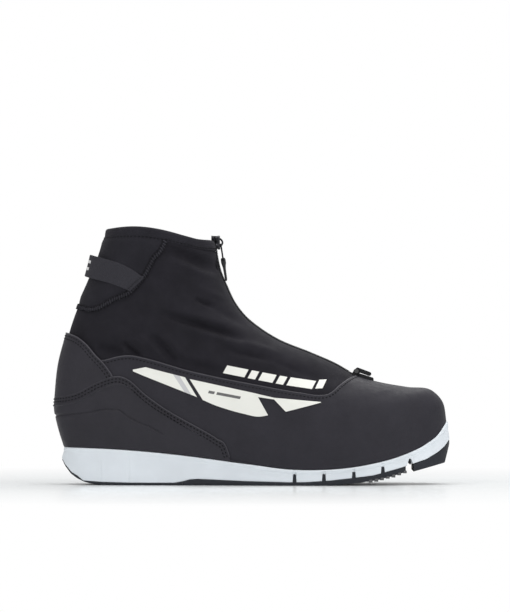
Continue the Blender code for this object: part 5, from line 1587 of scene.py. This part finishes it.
# ---------------------------------------------------------------- setting
ROOM_LIGHT = 0.5
FLOOR_REACH, FLOOR_DROP = 3.0, 0.0001  # metres
LENS, CAMERA_PLACE = 389.6, (0.002, -5.0, 0.1344)
LAMPS = (("top", (0.25, -0.15, 1.25), (0.05, 0, 0.05), 1.5, 15.0),  # name, place, aim, size, power
         ("key", (-0.5, -1.0, 0.9), (0, 0, 0.09), 0.5, 3.4),
         ("front", (0.75, -0.8, 0.35), (0.08, 0, 0.05), 0.5, 1.6),
         ("back", (0.1, 0.8, 0.9), (0, 0, 0.1), 0.8, 4.0))


def build_setting():
    mesh = bpy.data.meshes.new("floor")
    corners = ((-1, -1), (1, -1), (1, 1), (-1, 1))
    mesh.from_pydata([(x * FLOOR_REACH, y * FLOOR_REACH, 0) for x, y in corners], [], [(0, 1, 2, 3)])
    floor = bpy.data.objects.new("floor", mesh)
    floor.location.z = -FLOOR_DROP
    mesh.materials.append(floor_paint())
    bpy.context.scene.collection.objects.link(floor)
    world = bpy.data.worlds.new("studio")
    world.use_nodes = True
    world.node_tree.nodes["Background"].inputs["Color"].default_value = (1.0, 1.0, 1.0, 1.0)
    light_world(world.node_tree)
    bpy.context.scene.world = world
    for lamp in LAMPS:
        area_light(*lamp)


def light_world(tree):
    """White seamless backdrop; the room behind it lights the boot more dimly."""
    background = tree.nodes["Background"]
    path = tree.nodes.new("ShaderNodeLightPath")
    choose = tree.nodes.new("ShaderNodeMapRange")
    choose.inputs["To Min"].default_value = ROOM_LIGHT
    choose.inputs["To Max"].default_value = 1.0
    tree.links.new(path.outputs["Is Camera Ray"], choose.inputs["Value"])
    tree.links.new(choose.outputs["Result"], background.inputs["Strength"])


def area_light(name, place, aim, size, power):
    data = bpy.data.lights.new(name, "AREA")
    data.energy, data.size = power, size
    lamp = bpy.data.objects.new(name, data)
    lamp.location = place
    towards = Vector((np.array(aim) - np.array(place)).tolist())
    lamp.rotation_euler = towards.to_track_quat("-Z", "Y").to_euler()
    bpy.context.scene.collection.objects.link(lamp)


def build_camera():
    data = bpy.data.cameras.new("camera")
    data.sensor_fit, data.sensor_height, data.sensor_width = "VERTICAL", 36.0, 36.0
    data.lens = LENS
    camera = bpy.data.objects.new("camera", data)
    camera.location = CAMERA_PLACE
    camera.rotation_euler = (math.radians(90.0), 0.0, 0.0)
    bpy.context.scene.collection.objects.link(camera)
    bpy.context.scene.camera = camera
    bpy.context.scene.view_settings.view_transform = "Standard"


for build in (build_cover, build_shell, build_shell_seams, build_heel_overlays, build_heel_seams,
              build_collar, build_seam, build_lining, build_tongue, build_footbed, build_loop,
              build_tapes, build_teeth, build_slider, build_pull, build_ring, build_decals, build_sole_unit):
    build()
build_tread("tread_heel", -143.2, -52.7, "outsole_heel")
build_tread("tread_forefoot", -52.3, 115.6, "outsole_forefoot")
build_toe_lugs()
build_toe_block()
carry_over()
build_setting()
build_camera()
